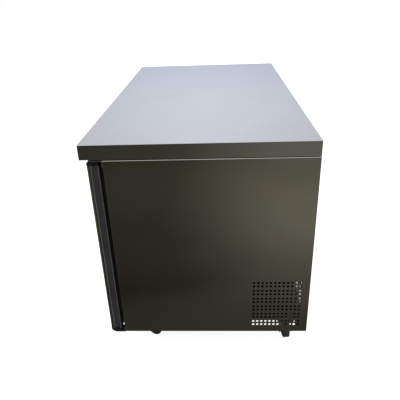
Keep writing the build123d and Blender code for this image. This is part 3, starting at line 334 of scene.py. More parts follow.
def screw_head(bm, radius, tall, place):
    """A pan head with a cross recess, on +Z over its seat."""
    before = set(bm.verts)
    half_step = Matrix.Rotation(math.radians(15), 4, "Z")
    base = Matrix.Translation((0, 0, tall / 4)) @ half_step
    rim = {"radius1": radius, "radius2": 0.95 * radius, "depth": tall / 2}
    bmesh.ops.create_cone(bm, cap_ends=True, segments=12, matrix=base, **rim)
    bm.normal_update()
    faces = {face for vert in bm.verts if vert not in before for face in vert.link_faces}
    top = max(faces, key=lambda face: face.calc_center_median().z)
    bmesh.ops.inset_region(bm, faces=[top], thickness=0.34 * radius, depth=tall / 2, use_even_offset=True)
    bmesh.ops.inset_region(bm, faces=[top], thickness=0.08 * radius, use_even_offset=True)
    arm, half = 0.46 * radius, 0.12 * radius
    for vert in top.verts:
        x, y = abs(vert.co.x), abs(vert.co.y)
        long_x, long_y = x > 1.2 * y, y > 1.2 * x
        vert.co.x = math.copysign(arm if long_x else half, vert.co.x)
        vert.co.y = math.copysign(arm if long_y else half, vert.co.y)
    sunk = {"thickness": 0.02 * radius, "depth": -0.6 * tall}
    bmesh.ops.inset_region(bm, faces=[top], use_even_offset=True, **sunk)
    bmesh.ops.transform(bm, matrix=place, verts=[vert for vert in bm.verts if vert not in before])


def hang(bm, name, material, body, slot, *replaced):
    """Turns a finished bmesh into a piece, coats it and hangs it on its body."""
    mesh = bpy.data.meshes.new(name)
    bm.to_mesh(mesh)
    bm.free()
    mesh.materials.append(material)
    mesh.shade_smooth()
    mesh.set_sharp_from_angle(angle=SHARP_EDGE)
    piece = bpy.data.objects.new(name, mesh)
    bpy.context.scene.collection.objects.link(piece)
    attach(piece, body)
    if replaced:
        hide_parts(*replaced)
    return piece


SHANK_RADIUS, SHANK_LONG = 1.9 * MM, 6 * MM
SCREW_COLUMNS = 4
low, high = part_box("grille_screws")
cover_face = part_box("rear_grille")[1][1]
head_radius, head_tall = 4.0 * MM, high[1] - cover_face
bm = bmesh.new()
facing_back = Matrix.Rotation(-math.pi / 2, 4, "X")
for column in range(SCREW_COLUMNS):
    share = column / (SCREW_COLUMNS - 1)
    x = low[0] + head_radius + share * (high[0] - low[0] - 2 * head_radius)
    for z in (low[2] + head_radius, high[2] - head_radius):
        screw_head(bm, head_radius, head_tall, Matrix.Translation((x, cover_face, z)) @ facing_back)
        shank = Matrix.Translation((x, cover_face - SHANK_LONG / 2, z)) @ facing_back
        bmesh.ops.create_cone(
            bm,
            cap_ends=True,
            segments=12,
            radius1=SHANK_RADIUS,
            radius2=SHANK_RADIUS,
            depth=SHANK_LONG,
            matrix=shank,
        )
hang(bm, "cover_screws", zinc_plate, "root", "zinc", "grille_screws")

# The mains gland: moulded polyamide, black and slightly frosted by its mould, nipped into the rear cover.

polyamide, tree, place = new_material("moulded_polyamide")
frost = add(tree, "TexNoise", {"Vector": place, "Scale": 1 / (0.8 * MM), "Detail": 2.0})
colour = ramp(tree, frost, {0.3: "#1a1a1b", 0.7: "#232324"})
relief = add(tree, "Bump", {"Height": frost, "Strength": 0.3, "Distance": 0.05 * MM})
nylon = add(tree, "BsdfPrincipled", {"Base Color": colour, "Roughness": 0.5, "IOR": 1.53, "Normal": relief})
add(tree, "OutputMaterial", {"Surface": nylon})
coat(polyamide, "cable_gland")

# The insulation of cabinet and doors: rigid polyurethane foam, poured in place. Its cut face is pale
# yellow with fine closed cells, and it darkens with age.

CELL_SIZE = 1.6 * MM  # real cells are about 0.3 mm; they are drawn coarser, so that they show
foam, tree, place = new_material("rigid_polyurethane_foam")
cells = add(tree, "TexVoronoi", {"Vector": place, "Scale": 1 / CELL_SIZE})
age = add(tree, "TexNoise", {"Vector": place, "Scale": 1 / (120 * MM), "Detail": 3.0})
colour = ramp(tree, age, {0.3: "#d9c07c", 0.7: "#e6d6a0"})
pits = add(tree, "Bump", {"Height": cells, "Strength": 0.5, "Distance": 0.5 * MM})
cut = add(tree, "BsdfPrincipled", {"Base Color": colour, "Roughness": 0.9, "Normal": pits})
add(tree, "OutputMaterial", {"Surface": cut})
coat(foam, "insulation", "door_right_foam", "door_left_foam")

# The freezer's inside and the evaporator's cover: aluminium sheet, about 1 mm thick, rolled with a stucco
# pattern that hides dents and scatters the light.

STUCCO_SIZE = 9 * MM
stucco, tree, place = new_material("stucco_embossed_aluminium")
cell = {"Vector": place, "Scale": 1 / STUCCO_SIZE, "Smoothness": 0.6}
lumps = add(tree, "TexVoronoi", cell, feature="SMOOTH_F1")
haze = add(tree, "TexNoise", {"Vector": place, "Scale": 1 / (70 * MM), "Detail": 3.0})
colour = ramp(tree, haze, {0.3: "#cfd1d3", 0.7: "#d9dbdc"})
embossed = add(tree, "Bump", {"Height": lumps, "Strength": 0.55, "Distance": 1.2 * MM})
finish = {"Base Color": colour, "Metallic": 0.85, "Roughness": 0.34, "Normal": embossed}
skin = add(tree, "BsdfPrincipled", finish)
add(tree, "OutputMaterial", {"Surface": skin})
coat(stucco, "inner_liner", "evaporator_cover")

# The door frame, the doors' inner faces and the controller's case: ABS in charcoal, vacuum formed or
# moulded against a grained tool, so it has a fine leather grain and a dull sheen.

GRAIN_SIZE = 1.4 * MM
grained_abs, tree, place = new_material("grained_charcoal_abs")
leather = add(tree, "TexVoronoi", {"Vector": place, "Scale": 1 / GRAIN_SIZE}, feature="DISTANCE_TO_EDGE")
flow = add(tree, "TexNoise", {"Vector": place, "Scale": 1 / (60 * MM), "Detail": 2.0})
colour = ramp(tree, flow, {0.3: "#1e1e1e", 0.7: "#242423"})
relief = add(tree, "Bump", {"Height": leather, "Strength": 0.25, "Distance": 0.12 * MM})
finish = {"Base Color": colour, "Roughness": 0.52, "IOR": 1.53, "Normal": relief}
plastic = add(tree, "BsdfPrincipled", finish)
add(tree, "OutputMaterial", {"Surface": plastic})
coat(grained_abs, "front_frame", "door_right_inner_panel", "door_left_inner_panel", "controller")

# The two shelves: 6 mm rims of round steel bar with 3.2 mm wires welded across and two bars under them, all
# bright nickel-chrome plated. They lift out of their rails.

WIRE_RADIUS, RIM_RADIUS, CORNER_RADIUS = 1.6 * MM, 3.0 * MM, 15.0 * MM
UNDER_BAR_RADIUS = 2.7 * MM
WIRE_COUNT = 26
chrome, tree, place = new_material("nickel_chrome_plating")
cloud = add(tree, "TexNoise", {"Vector": place, "Scale": 1 / (25 * MM), "Detail": 3.0})
colour = ramp(tree, cloud, {0.3: "#c9cbcd", 0.7: "#dcdddd"})
rough = spread(tree, cloud, 0.12, 0.24)
plating = add(tree, "BsdfPrincipled", {"Base Color": colour, "Metallic": 1.0, "Roughness": rough})
add(tree, "OutputMaterial", {"Surface": plating})


def straight_bar(bm, start, end, radius, segments=10):
    """A round bar between two points."""
    start, end = Vector(start), Vector(end)
    turn = (end - start).to_track_quat("Z", "Y").to_matrix().to_4x4()
    place = Matrix.Translation((start + end) / 2) @ turn
    size = {"radius1": radius, "radius2": radius, "depth": (end - start).length}
    bmesh.ops.create_cone(bm, cap_ends=True, segments=segments, matrix=place, **size)


def quarter_rim(bm, half_x, half_y, corner, radius):
    """A quarter of a bent bar's frame about the origin: half a side, the corner and half the next side."""
    upright = Matrix.Translation((0, -half_y, 0)) @ Matrix.Rotation(math.pi / 2, 4, "Y")
    ring = bmesh.ops.create_circle(bm, segments=10, radius=radius, matrix=upright)["verts"]
    edges = list({edge for vert in ring for edge in vert.link_edges})
    made = bmesh.ops.extrude_edge_only(bm, edges=edges)["geom"]
    verts = [item for item in made if isinstance(item, bmesh.types.BMVert)]
    bmesh.ops.translate(bm, verts=verts, vec=(half_x - corner, 0, 0))
    edges = [item for item in made if isinstance(item, bmesh.types.BMEdge)]
    edges = [edge for edge in edges if all(vert in verts for vert in edge.verts)]
    centre = (half_x - corner, -half_y + corner, 0)
    bend = {"cent": centre, "axis": (0, 0, 1), "angle": math.pi / 2, "steps": 8}
    bent = bmesh.ops.spin(bm, geom=verts + edges, **bend)["geom_last"]
    edges = [item for item in bent if isinstance(item, bmesh.types.BMEdge)]
    made = bmesh.ops.extrude_edge_only(bm, edges=edges)["geom"]
    verts = [item for item in made if isinstance(item, bmesh.types.BMVert)]
    bmesh.ops.translate(bm, verts=verts, vec=(0, half_y - corner, 0))


low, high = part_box("wire_shelves")
GAP_BETWEEN = 26 * MM
shelf_wide = (high[0] - low[0] - GAP_BETWEEN) / 2
half_x, half_y = shelf_wide / 2 - RIM_RADIUS, (high[1] - low[1]) / 2 - RIM_RADIUS
rim_level = low[2] + RIM_RADIUS
bm = bmesh.new()
for side in (-1, 1):
    before = set(bm.verts)
    for flip_x in (1, -1):
        for flip_y in (1, -1):
            known = set(bm.verts)
            quarter_rim(bm, half_x, half_y, CORNER_RADIUS, RIM_RADIUS)
            fresh = [vert for vert in bm.verts if vert not in known]
            bmesh.ops.scale(bm, vec=(flip_x, flip_y, 1), verts=fresh)
    bmesh.ops.remove_doubles(bm, verts=[vert for vert in bm.verts if vert not in before], dist=0.01 * MM)
    bmesh.ops.recalc_face_normals(bm, faces=[f for f in bm.faces if all(v not in before for v in f.verts)])
    wire_level = RIM_RADIUS + WIRE_RADIUS * 0.4  # the wires are sunk a little into the rim's weld
    for step in range(1, WIRE_COUNT):
        x = -half_x + 2 * half_x * step / WIRE_COUNT
        straight_bar(bm, (x, -half_y, wire_level), (x, half_y, wire_level), WIRE_RADIUS, 8)
    for y in (-half_y / 3, half_y / 3):
        straight_bar(bm, (-half_x, y, 0), (half_x, y, 0), UNDER_BAR_RADIUS)
    centre = Vector((side * (GAP_BETWEEN + shelf_wide) / 2, (low[1] + high[1]) / 2, rim_level))
    bmesh.ops.translate(bm, verts=[vert for vert in bm.verts if vert not in before], vec=centre)
hang(bm, "wire_shelf_pair", chrome, "root", "zinc", "wire_shelves")

# The rails that carry the shelves: extruded aluminium, anodised in its natural colour, with faint die
# lines.

DIE_LINE_SPACING = 1.2 * MM
anodised, tree, place = new_material("clear_anodised_aluminium")
along = add(tree, "Mapping", {"Vector": place, "Scale": (1.0, 0.01, 1.0)})
lines = add(tree, "TexNoise", {"Vector": along, "Scale": 1 / DIE_LINE_SPACING, "Detail": 2.0})
colour = ramp(tree, lines, {0.3: "#b9bbbd", 0.7: "#c6c8ca"})
relief = add(tree, "Bump", {"Height": lines, "Strength": 0.1, "Distance": 0.1 * MM})
finish = {"Base Color": colour, "Metallic": 0.9, "Roughness": 0.38, "Normal": relief}
rail = add(tree, "BsdfPrincipled", finish)
add(tree, "OutputMaterial", {"Surface": rail})
coat(anodised, "shelf_supports")

# The evaporator: thin aluminium fins pressed on to a serpentine of copper tube, between two end plates.
# Frost and drip water leave the fins dull and slightly streaked.

FIN_THICK, PLATE_THICK = 0.4 * MM, 1.2 * MM
EVAPORATOR_FINS, FIN_INSET = 56, 2 * MM
fin_aluminium, tree, place = new_material("bare_fin_aluminium")
down = add(tree, "Mapping", {"Vector": place, "Scale": (1.0, 1.0, 0.15)})
streaks = add(tree, "TexNoise", {"Vector": down, "Scale": 1 / (8 * MM), "Detail": 3.0})
colour = ramp(tree, streaks, {0.3: "#a9abad", 0.7: "#c8c9ca"})
rough = spread(tree, streaks, 0.34, 0.5)
fin = add(tree, "BsdfPrincipled", {"Base Color": colour, "Metallic": 1.0, "Roughness": rough})
add(tree, "OutputMaterial", {"Surface": fin})
copper, tree, place = new_material("drawn_copper_tube")
tarnish = add(tree, "TexNoise", {"Vector": place, "Scale": 1 / (22 * MM), "Detail": 5.0, "Distortion": 0.5})
colour = ramp(tree, tarnish, {0.3: "#7a4630", 0.5: "#b87454", 0.75: "#cf8d69"})
rough = spread(tree, tarnish, 0.5, 0.25)
tube = add(tree, "BsdfPrincipled", {"Base Color": colour, "Metallic": 1.0, "Roughness": rough})
add(tree, "OutputMaterial", {"Surface": tube})


def fins_between(bm, half_long, wide, tall, count):
    """Fins across X between two end plates, about the origin."""
    for step in range(count):
        x = half_long * (-1 + 2 * step / (count - 1))
        thick = PLATE_THICK if step in (0, count - 1) else FIN_THICK
        box = Matrix.Translation((x, 0, 0)) @ Matrix.Diagonal((thick, wide, tall, 1))
        bmesh.ops.create_cube(bm, size=1.0, matrix=box)


def serpentine(bm, half_long, spots, radius):
    """A tube to and fro along X through the spots in turn, with a half-circle bend at each end."""
    for y, z in spots:
        straight_bar(bm, (-half_long, y, z), (half_long, y, z), radius, 12)
    for number, (here, there) in enumerate(zip(spots, spots[1:])):
        out = Vector((1 if number % 2 == 0 else -1, 0, 0))
        start, end = Vector((0, *here)) + out * half_long, Vector((0, *there)) + out * half_long
        centre = (start + end) / 2
        upright = Matrix.Translation(start) @ Matrix.Rotation(math.pi / 2, 4, "Y")
        ring = bmesh.ops.create_circle(bm, segments=12, radius=radius, matrix=upright)["verts"]
        edges = list({edge for vert in ring for edge in vert.link_edges})
        axis = (start - centre).cross(out)
        known = set(bm.faces)
        bmesh.ops.spin(bm, geom=ring + edges, cent=centre, axis=axis, angle=math.pi, steps=8)
        bmesh.ops.recalc_face_normals(bm, faces=[face for face in bm.faces if face not in known])


def serpentine_spots(columns, rows):
    """Tube places up the first column and down the next."""
    spots = []
    for number, y in enumerate(columns):
        spots += [(y, z) for z in (rows if number % 2 == 0 else rows[::-1])]
    return spots


low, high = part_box("evaporator_coil")
centre = middle_of("evaporator_coil")
BEND_ROOM = 18 * MM
size = Vector(high) - Vector(low)
evaporator_half = size.x / 2 - BEND_ROOM
row_step, column_step, evaporator_tube = 25 * MM, 26 * MM, 4.0 * MM
rows = [row_step * step for step in (-2, -1, 0, 1, 2)]
spots = serpentine_spots([-column_step / 2, column_step / 2], rows)
place = Matrix.Translation(centre)
bm = bmesh.new()
fins_between(bm, evaporator_half, size.y - FIN_INSET, size.z, EVAPORATOR_FINS)
bmesh.ops.transform(bm, matrix=place, verts=bm.verts)
hang(bm, "evaporator_fins", fin_aluminium, "root", "liner_aluminium", "evaporator_coil")
bm = bmesh.new()
serpentine(bm, evaporator_half, spots, evaporator_tube)
bmesh.ops.transform(bm, matrix=place, verts=bm.verts)
hang(bm, "evaporator_tubes", copper, "root", "copper")

# The fan motors: die-cast cans in grey stoving enamel, smooth with a slight orange peel.

motor_enamel, tree, place = new_material("grey_stoving_enamel")
peel = add(tree, "TexNoise", {"Vector": place, "Scale": 1 / (1.8 * MM), "Detail": 1.0})
soot = add(tree, "TexNoise", {"Vector": place, "Scale": 1 / (30 * MM), "Detail": 4.0})
colour = ramp(tree, soot, {0.3: "#77797c", 0.7: "#8b8d90"})
relief = add(tree, "Bump", {"Height": peel, "Strength": 0.2, "Distance": 0.1 * MM})
enamel = add(tree, "BsdfPrincipled", {"Base Color": colour, "Roughness": 0.36, "Normal": relief})
add(tree, "OutputMaterial", {"Surface": enamel})
coat(motor_enamel, "evaporator_fan_motor", "condenser_fan_motor")

# The two fans: injection-moulded polypropylene with glass fibre, black, each with a hub and five swept,
# twisted blades that widen towards their tips. The moulding shows swirled flow marks.

BLADE_COUNT, BLADE_THICK = 5, 1.4 * MM
ROOT_PITCH, TIP_PITCH = math.radians(34), math.radians(20)
CHORD_SHARE, SWEEP, CAMBER = 0.56, 0.25, 0.06
HUB_BORE, HUB_WALL = 2.2 * MM, 2 * MM
fan_plastic, tree, place = new_material("glass_filled_polypropylene")
flow = add(tree, "TexNoise", {"Vector": place, "Scale": 1 / (6 * MM), "Detail": 4.0, "Distortion": 1.5})
colour = ramp(tree, flow, {0.3: "#161617", 0.7: "#262627"})
relief = add(tree, "Bump", {"Height": flow, "Strength": 0.12, "Distance": 0.1 * MM})
finish = {"Base Color": colour, "Roughness": 0.4, "IOR": 1.49, "Normal": relief}
moulded = add(tree, "BsdfPrincipled", finish)
add(tree, "OutputMaterial", {"Surface": moulded})


def turned(bm, outline, steps, place):
    """A closed outline of radius and height, turned about Z like work in a lathe."""
    before = set(bm.verts)
    verts = [bm.verts.new((radius, 0, z)) for radius, z in outline]
    edges = [bm.edges.new(pair) for pair in zip(verts, verts[1:] + verts[:1])]
    bmesh.ops.spin(bm, geom=verts + edges, axis=(0, 0, 1), angle=2 * math.pi, steps=steps, use_merge=True)
    fresh = [vert for vert in bm.verts if vert not in before]
    bmesh.ops.remove_doubles(bm, verts=fresh, dist=0.001 * MM)
    fresh = [vert for vert in bm.verts if vert not in before]
    bmesh.ops.recalc_face_normals(bm, faces=list({face for vert in fresh for face in vert.link_faces}))
    bmesh.ops.transform(bm, matrix=place, verts=fresh)


def fan(name, body, node, radius, hub, deep, place):
    """A fan about Z with its hub between z = 0 and deep, blowing along +Z."""
    bm = bmesh.new()
    rim = [(HUB_BORE, 0), (hub, 0), (hub, 0.8 * deep), (hub - HUB_WALL, deep), (HUB_BORE, deep)]
    turned(bm, rim, 40, Matrix.Identity(4))
    before = set(bm.verts)
    chord, root = CHORD_SHARE * radius, hub - HUB_WALL / 2
    bmesh.ops.create_grid(bm, x_segments=8, y_segments=6, size=0.5)
    blade = [vert for vert in bm.verts if vert not in before]
    for vert in blade:
        out, side = vert.co.x + 0.5, vert.co.y
        reach = root + out * (radius - root)
        pitch = ROOT_PITCH + (TIP_PITCH - ROOT_PITCH) * out
        width = chord * (0.75 + 0.35 * out)
        turn = side * width * math.cos(pitch) / reach + SWEEP * out * out
        rise = side * width * math.sin(pitch) + CAMBER * width * (1 - 4 * side * side)
        vert.co = (reach * math.cos(turn), reach * math.sin(turn), deep / 2 + rise)
    faces = [face for face in bm.faces if all(vert in blade for vert in face.verts)]
    bmesh.ops.recalc_face_normals(bm, faces=faces)
    bmesh.ops.solidify(bm, geom=faces, thickness=BLADE_THICK)
    geom = [vert for vert in bm.verts if vert not in before]
    geom += [edge for edge in bm.edges if all(vert not in before for vert in edge.verts)]
    geom += [face for face in bm.faces if all(vert not in before for vert in face.verts)]
    turn = 2 * math.pi * (BLADE_COUNT - 1) / BLADE_COUNT
    bmesh.ops.spin(bm, geom=geom, axis=(0, 0, 1), angle=turn, steps=BLADE_COUNT - 1, use_duplicate=True)
    bmesh.ops.transform(bm, matrix=place, verts=bm.verts)
    hang(bm, name, fan_plastic, body, "gloss_black_plastic", node)


EVAPORATOR_HUB, EVAPORATOR_HUB_DEEP = 17 * MM, 12 * MM
low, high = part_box("evaporator_fan_blade")
centre = middle_of("evaporator_fan_blade")
seat = Matrix.Translation((centre.x, centre.y + EVAPORATOR_HUB_DEEP / 2, centre.z))
fan(
    "evaporator_fan_wheel",
    "evaporator_fan",
    "evaporator_fan_blade",
    (high[0] - low[0]) / 2,
    EVAPORATOR_HUB,
    EVAPORATOR_HUB_DEEP,
    seat @ Matrix.Rotation(math.pi / 2, 4, "X"),
)
CONDENSER_HUB, CONDENSER_HUB_DEEP = 22 * MM, 14 * MM
low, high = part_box("condenser_fan_blade")
centre = middle_of("condenser_fan_blade")
seat = Matrix.Translation((centre.x - CONDENSER_HUB_DEEP / 2, centre.y, centre.z))
fan(
    "condenser_fan_wheel",
    "condenser_fan",
    "condenser_fan_blade",
    (high[2] - low[2]) / 2,
    CONDENSER_HUB,
    CONDENSER_HUB_DEEP,
    seat @ Matrix.Rotation(math.pi / 2, 4, "Y"),
)

# The compressor: two deep-drawn steel shells welded together and dipped in black enamel, on four rubber
# feet. Dust from the bay settles on its dome.

compressor_enamel, tree, place = new_material("black_dipped_enamel")
peel = add(tree, "TexNoise", {"Vector": place, "Scale": 1 / (4 * MM), "Detail": 1.0})
patches = add(tree, "TexNoise", {"Vector": place, "Scale": 1 / (45 * MM), "Detail": 5.0})
facing = add(tree, "SeparateXYZ", {"Vector": add(tree, "NewGeometry").outputs["Normal"]}).outputs["Z"]
settled = add(tree, "Math", {0: facing, 1: patches}, operation="MULTIPLY")
dusty = ramp(tree, settled, {0.25: "#0e0e0f", 0.6: "#2c2a27"})
dulled = {"From Min": 0.2, "From Max": 0.6, "To Min": 0.2, "To Max": 0.55}
rough = add(tree, "MapRange", {"Value": settled, **dulled})
relief = add(tree, "Bump", {"Height": peel, "Strength": 0.2, "Distance": 0.2 * MM})
enamel = add(tree, "BsdfPrincipled", {"Base Color": dusty, "Roughness": rough, "Normal": relief})
add(tree, "OutputMaterial", {"Surface": enamel})
coat(compressor_enamel, "compressor")

# Its feet are black rubber, matt with a bloom, and the relay's cover is a phenolic moulding.

BLOOM_SIZE = 9 * MM
rubber, tree, place = new_material("black_rubber")
bloom = add(tree, "TexNoise", {"Vector": place, "Scale": 1 / BLOOM_SIZE, "Detail": 4.0})
colour = ramp(tree, bloom, {0.35: "#17171a", 0.7: "#242427"})
soft = add(tree, "BsdfPrincipled", {"Base Color": colour, "Roughness": 0.75})
add(tree, "OutputMaterial", {"Surface": soft})
coat(rubber, "compressor_grommets")
phenolic, tree, place = new_material("phenolic_moulding")
filler = add(tree, "TexNoise", {"Vector": place, "Scale": 1 / (1.5 * MM), "Detail": 3.0})
colour = ramp(tree, filler, {0.35: "#1f1b19", 0.65: "#2a2522"})
moulding = add(tree, "BsdfPrincipled", {"Base Color": colour, "Roughness": 0.42, "IOR": 1.6})
add(tree, "OutputMaterial", {"Surface": moulding})
coat(phenolic, "relay_box")

# Bolts through the compressor's feet: hexagon heads on washers, zinc plated.

GROMMET_RADIUS, FOOT_THICK = 11 * MM, 3 * MM
BOLT_RADIUS, WASHER_RADIUS, HEX_RADIUS = 3 * MM, 8 * MM, 5.6 * MM
WASHER_THICK, HEX_TALL = 1.2 * MM, 4.8 * MM
low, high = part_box("compressor_grommets")
seat = high[2] + FOOT_THICK
bm = bmesh.new()
for x in (low[0] + GROMMET_RADIUS, high[0] - GROMMET_RADIUS):
    for y in (low[1] + GROMMET_RADIUS, high[1] - GROMMET_RADIUS):
        washer_top = seat + WASHER_THICK
        straight_bar(bm, (x, y, low[2] + 1 * MM), (x, y, seat), BOLT_RADIUS)
        straight_bar(bm, (x, y, seat), (x, y, washer_top), WASHER_RADIUS, 24)
        straight_bar(bm, (x, y, washer_top), (x, y, washer_top + HEX_TALL), HEX_RADIUS, 6)
hang(bm, "compressor_bolts", zinc_plate, "root", "zinc")

# The condenser: the same build as the evaporator, but dipped in black paint, with its pipe stubs at the
# back.

fin_paint, tree, place = new_material("black_dipped_fins")
dust = add(tree, "TexNoise", {"Vector": place, "Scale": 1 / (18 * MM), "Detail": 5.0})
colour = ramp(tree, dust, {0.4: "#0b0b0b", 0.8: "#1c1a18"})
painted = add(tree, "BsdfPrincipled", {"Base Color": colour, "Roughness": 0.5})
add(tree, "OutputMaterial", {"Surface": painted})
CONDENSER_FINS, CONDENSER_ROWS = 54, 8
low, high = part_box("condenser")
centre = middle_of("condenser")
size = Vector(high) - Vector(low)
condenser_half = size.y / 2 - BEND_ROOM + 2 * MM
row_step, column_step, condenser_tube, stub_radius = 24 * MM, 24 * MM, 3.6 * MM, 3.4 * MM
rows = [row_step * (step - (CONDENSER_ROWS - 1) / 2) for step in range(CONDENSER_ROWS)]
spots = serpentine_spots([-column_step / 2, column_step / 2], rows)
place = Matrix.Translation(centre) @ Matrix.Rotation(math.pi / 2, 4, "Z")
bm = bmesh.new()
fins_between(bm, condenser_half, size.x - FIN_INSET / 2, size.z, CONDENSER_FINS)
serpentine(bm, condenser_half, spots, condenser_tube)
bmesh.ops.transform(bm, matrix=place, verts=bm.verts)
STUB_HEIGHTS = (0.150, 0.290)  # where the liquid and discharge pipes meet the coil
for z in STUB_HEIGHTS:
    straight_bar(bm, (centre.x, centre.y + condenser_half, z), (centre.x, high[1], z), stub_radius, 12)
hang(bm, "condenser_fins", fin_paint, "root", "grille_black", "condenser")

# The fan's duct and the drip tray: polypropylene, thick walled, moulded black with a waxy sheen.

polypropylene, tree, place = new_material("black_polypropylene")
wax = add(tree, "TexNoise", {"Vector": place, "Scale": 1 / (35 * MM), "Detail": 3.0})
colour = ramp(tree, wax, {0.3: "#161617", 0.7: "#202021"})
rough = spread(tree, wax, 0.35, 0.5)
waxy = add(tree, "BsdfPrincipled", {"Base Color": colour, "Roughness": rough, "IOR": 1.49})
add(tree, "OutputMaterial", {"Surface": waxy})
coat(polypropylene, "condenser_shroud", "condensate_pan")

# The pipes: soft-drawn copper, brown where it has tarnished, brazed at the drier.

coat(copper, "refrigerant_lines")

# The hinges: pressed steel brackets with riveted pins, zinc plated, each held by two cross-head screws.

coat(zinc_plate, "hinge_brackets")
low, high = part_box("hinge_brackets")
LIP_WIDE, LIP_TALL, LIP_THICK = 31 * MM, 21 * MM, 3 * MM
HINGE_SCREW_RADIUS, HINGE_SCREW_TALL = 3.4 * MM, 1.7 * MM
SCREW_SHARES, SCREW_UP = (0.24, 0.76), 0.58 * LIP_TALL  # along the lip, and up it
facing_front = Matrix.Rotation(math.pi / 2, 4, "X")
bm = bmesh.new()
for side in (-1, 1):
    for z in (low[2] + SCREW_UP, high[2] - SCREW_UP):
        for share in SCREW_SHARES:
            x = side * (high[0] - share * LIP_WIDE)
            place = Matrix.Translation((x, high[1] - LIP_THICK, z)) @ facing_front
            screw_head(bm, HINGE_SCREW_RADIUS, HINGE_SCREW_TALL, place)
hang(bm, "hinge_screws", zinc_plate, "root", "zinc")

# The seal round each door: soft PVC, extruded with a folded bellows and a tube for its magnet, cut at 45
# degrees and welded at the corners into one frame.

pvc, tree, place = new_material("soft_pvc_seal")
talc = add(tree, "TexNoise", {"Vector": place, "Scale": 1 / (40 * MM), "Detail": 4.0})
colour = ramp(tree, talc, {0.3: "#1d1e20", 0.75: "#2b2c2e"})
seal = add(tree, "BsdfPrincipled", {"Base Color": colour, "Roughness": 0.58, "IOR": 1.53})
add(tree, "OutputMaterial", {"Surface": seal})
# The section, in millimetres: inwards from the frame's outer edge, and out from the door.
SEAL_SECTION = [
    (0, 0), (15, 0), (15, 1.8), (10.8, 3.0), (13.2, 4.4), (10.2, 5.8), (12.6, 7.2), (13.6, 8.0),
    (13.6, 12.0), (12.9, 12.7), (2.1, 12.7), (1.4, 12.0), (1.4, 8.0), (2.4, 7.2), (4.8, 5.8), (1.8, 4.4),
    (4.2, 3.0), (0, 1.8),
]
for side in ("right", "left"):
    low, high = (Vector(corner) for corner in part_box(f"door_{side}_gasket"))
    centre = (low + high) / 2
    bm = bmesh.new()
    ring = [bm.verts.new((low.x + u * MM, low.y + v * MM, low.z + u * MM)) for u, v in SEAL_SECTION]
    edges = [bm.edges.new(pair) for pair in zip(ring, ring[1:] + ring[:1])]
    for flip in ((-1, 1, 1), (1, 1, -1), (-1, 1, 1), (1, 1, -1)):
        made = bmesh.ops.extrude_edge_only(bm, edges=edges)["geom"]
        verts = [item for item in made if isinstance(item, bmesh.types.BMVert)]
        bmesh.ops.scale(bm, vec=flip, space=Matrix.Translation(-centre), verts=verts)
        edges = [item for item in made if isinstance(item, bmesh.types.BMEdge)]
        edges = [edge for edge in edges if all(vert in verts for vert in edge.verts)]
    bmesh.ops.remove_doubles(bm, verts=bm.verts, dist=0.01 * MM)
    bmesh.ops.recalc_face_normals(bm, faces=bm.faces)
    hang(bm, f"door_{side}_seal", pvc, f"door_{side}", "seal_rubber", f"door_{side}_gasket")

# Two thin beads run down each upright edge of a door: a guard over the sheet's cut edge, and the seal's
# foot. Both are extruded grey PVC, pushed on. They are partly painted highlight: their pale grey draws the
# bright lines that the rounded edges of the door's side catch.

GUARD_RADIUS, FOOT_RADIUS, BEAD_PROUD = 1.3 * MM, 0.9 * MM, 0.5 * MM
FOOT_PLACE = 22 * MM  # from the inner panel's front
bead_pvc_and_painted_highlight, tree, place = new_material("grey_pvc_bead_and_painted_highlight")
talc = add(tree, "TexNoise", {"Vector": place, "Scale": 1 / (30 * MM), "Detail": 3.0})
# The beads' own grey, made pale enough to serve as painted highlight lines along the door's edges.
colour = ramp(tree, talc, {0.3: "#4a4a48", 0.7: "#585856"})
bead = add(tree, "BsdfPrincipled", {"Base Color": colour, "Roughness": 0.5, "IOR": 1.53})
add(tree, "OutputMaterial", {"Surface": bead})
for side in ("right", "left"):
    low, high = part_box(f"door_{side}_skin")
    panel_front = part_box(f"door_{side}_inner_panel")[0][1]
    bm = bmesh.new()
    for radius, y in ((GUARD_RADIUS, high[1]), (FOOT_RADIUS, panel_front + FOOT_PLACE)):
        for x in (low[0] + radius - BEAD_PROUD, high[0] - radius + BEAD_PROUD):
            straight_bar(bm, (x, y, low[2]), (x, y, high[2]), radius, 12)
    hang(bm, f"door_{side}_beads", bead_pvc_and_painted_highlight, f"door_{side}", "seal_rubber")

# The doors' end caps and finger cups: ABS, injection moulded black with a high gloss. Fingers leave soft
# marks.

gloss_abs, tree, place = new_material("gloss_black_abs")
touch = add(tree, "TexNoise", {"Vector": place, "Scale": 1 / (24 * MM), "Detail": 4.0})
colour = ramp(tree, touch, {0.3: "#0f0f10", 0.7: "#161617"})
smeared = {"From Min": 0.35, "From Max": 0.7, "To Min": 0.14, "To Max": 0.3}
rough = add(tree, "MapRange", {"Value": touch, **smeared})
glossy = add(tree, "BsdfPrincipled", {"Base Color": colour, "Roughness": rough, "IOR": 1.53})
add(tree, "OutputMaterial", {"Surface": glossy})
coat(gloss_abs, "door_right_end_caps", "door_left_end_caps", "door_right_handle", "door_left_handle")

# The controller: a smoked acrylic window over a red display, and three silicone keys. The display shows a
# freezer's usual temperature.

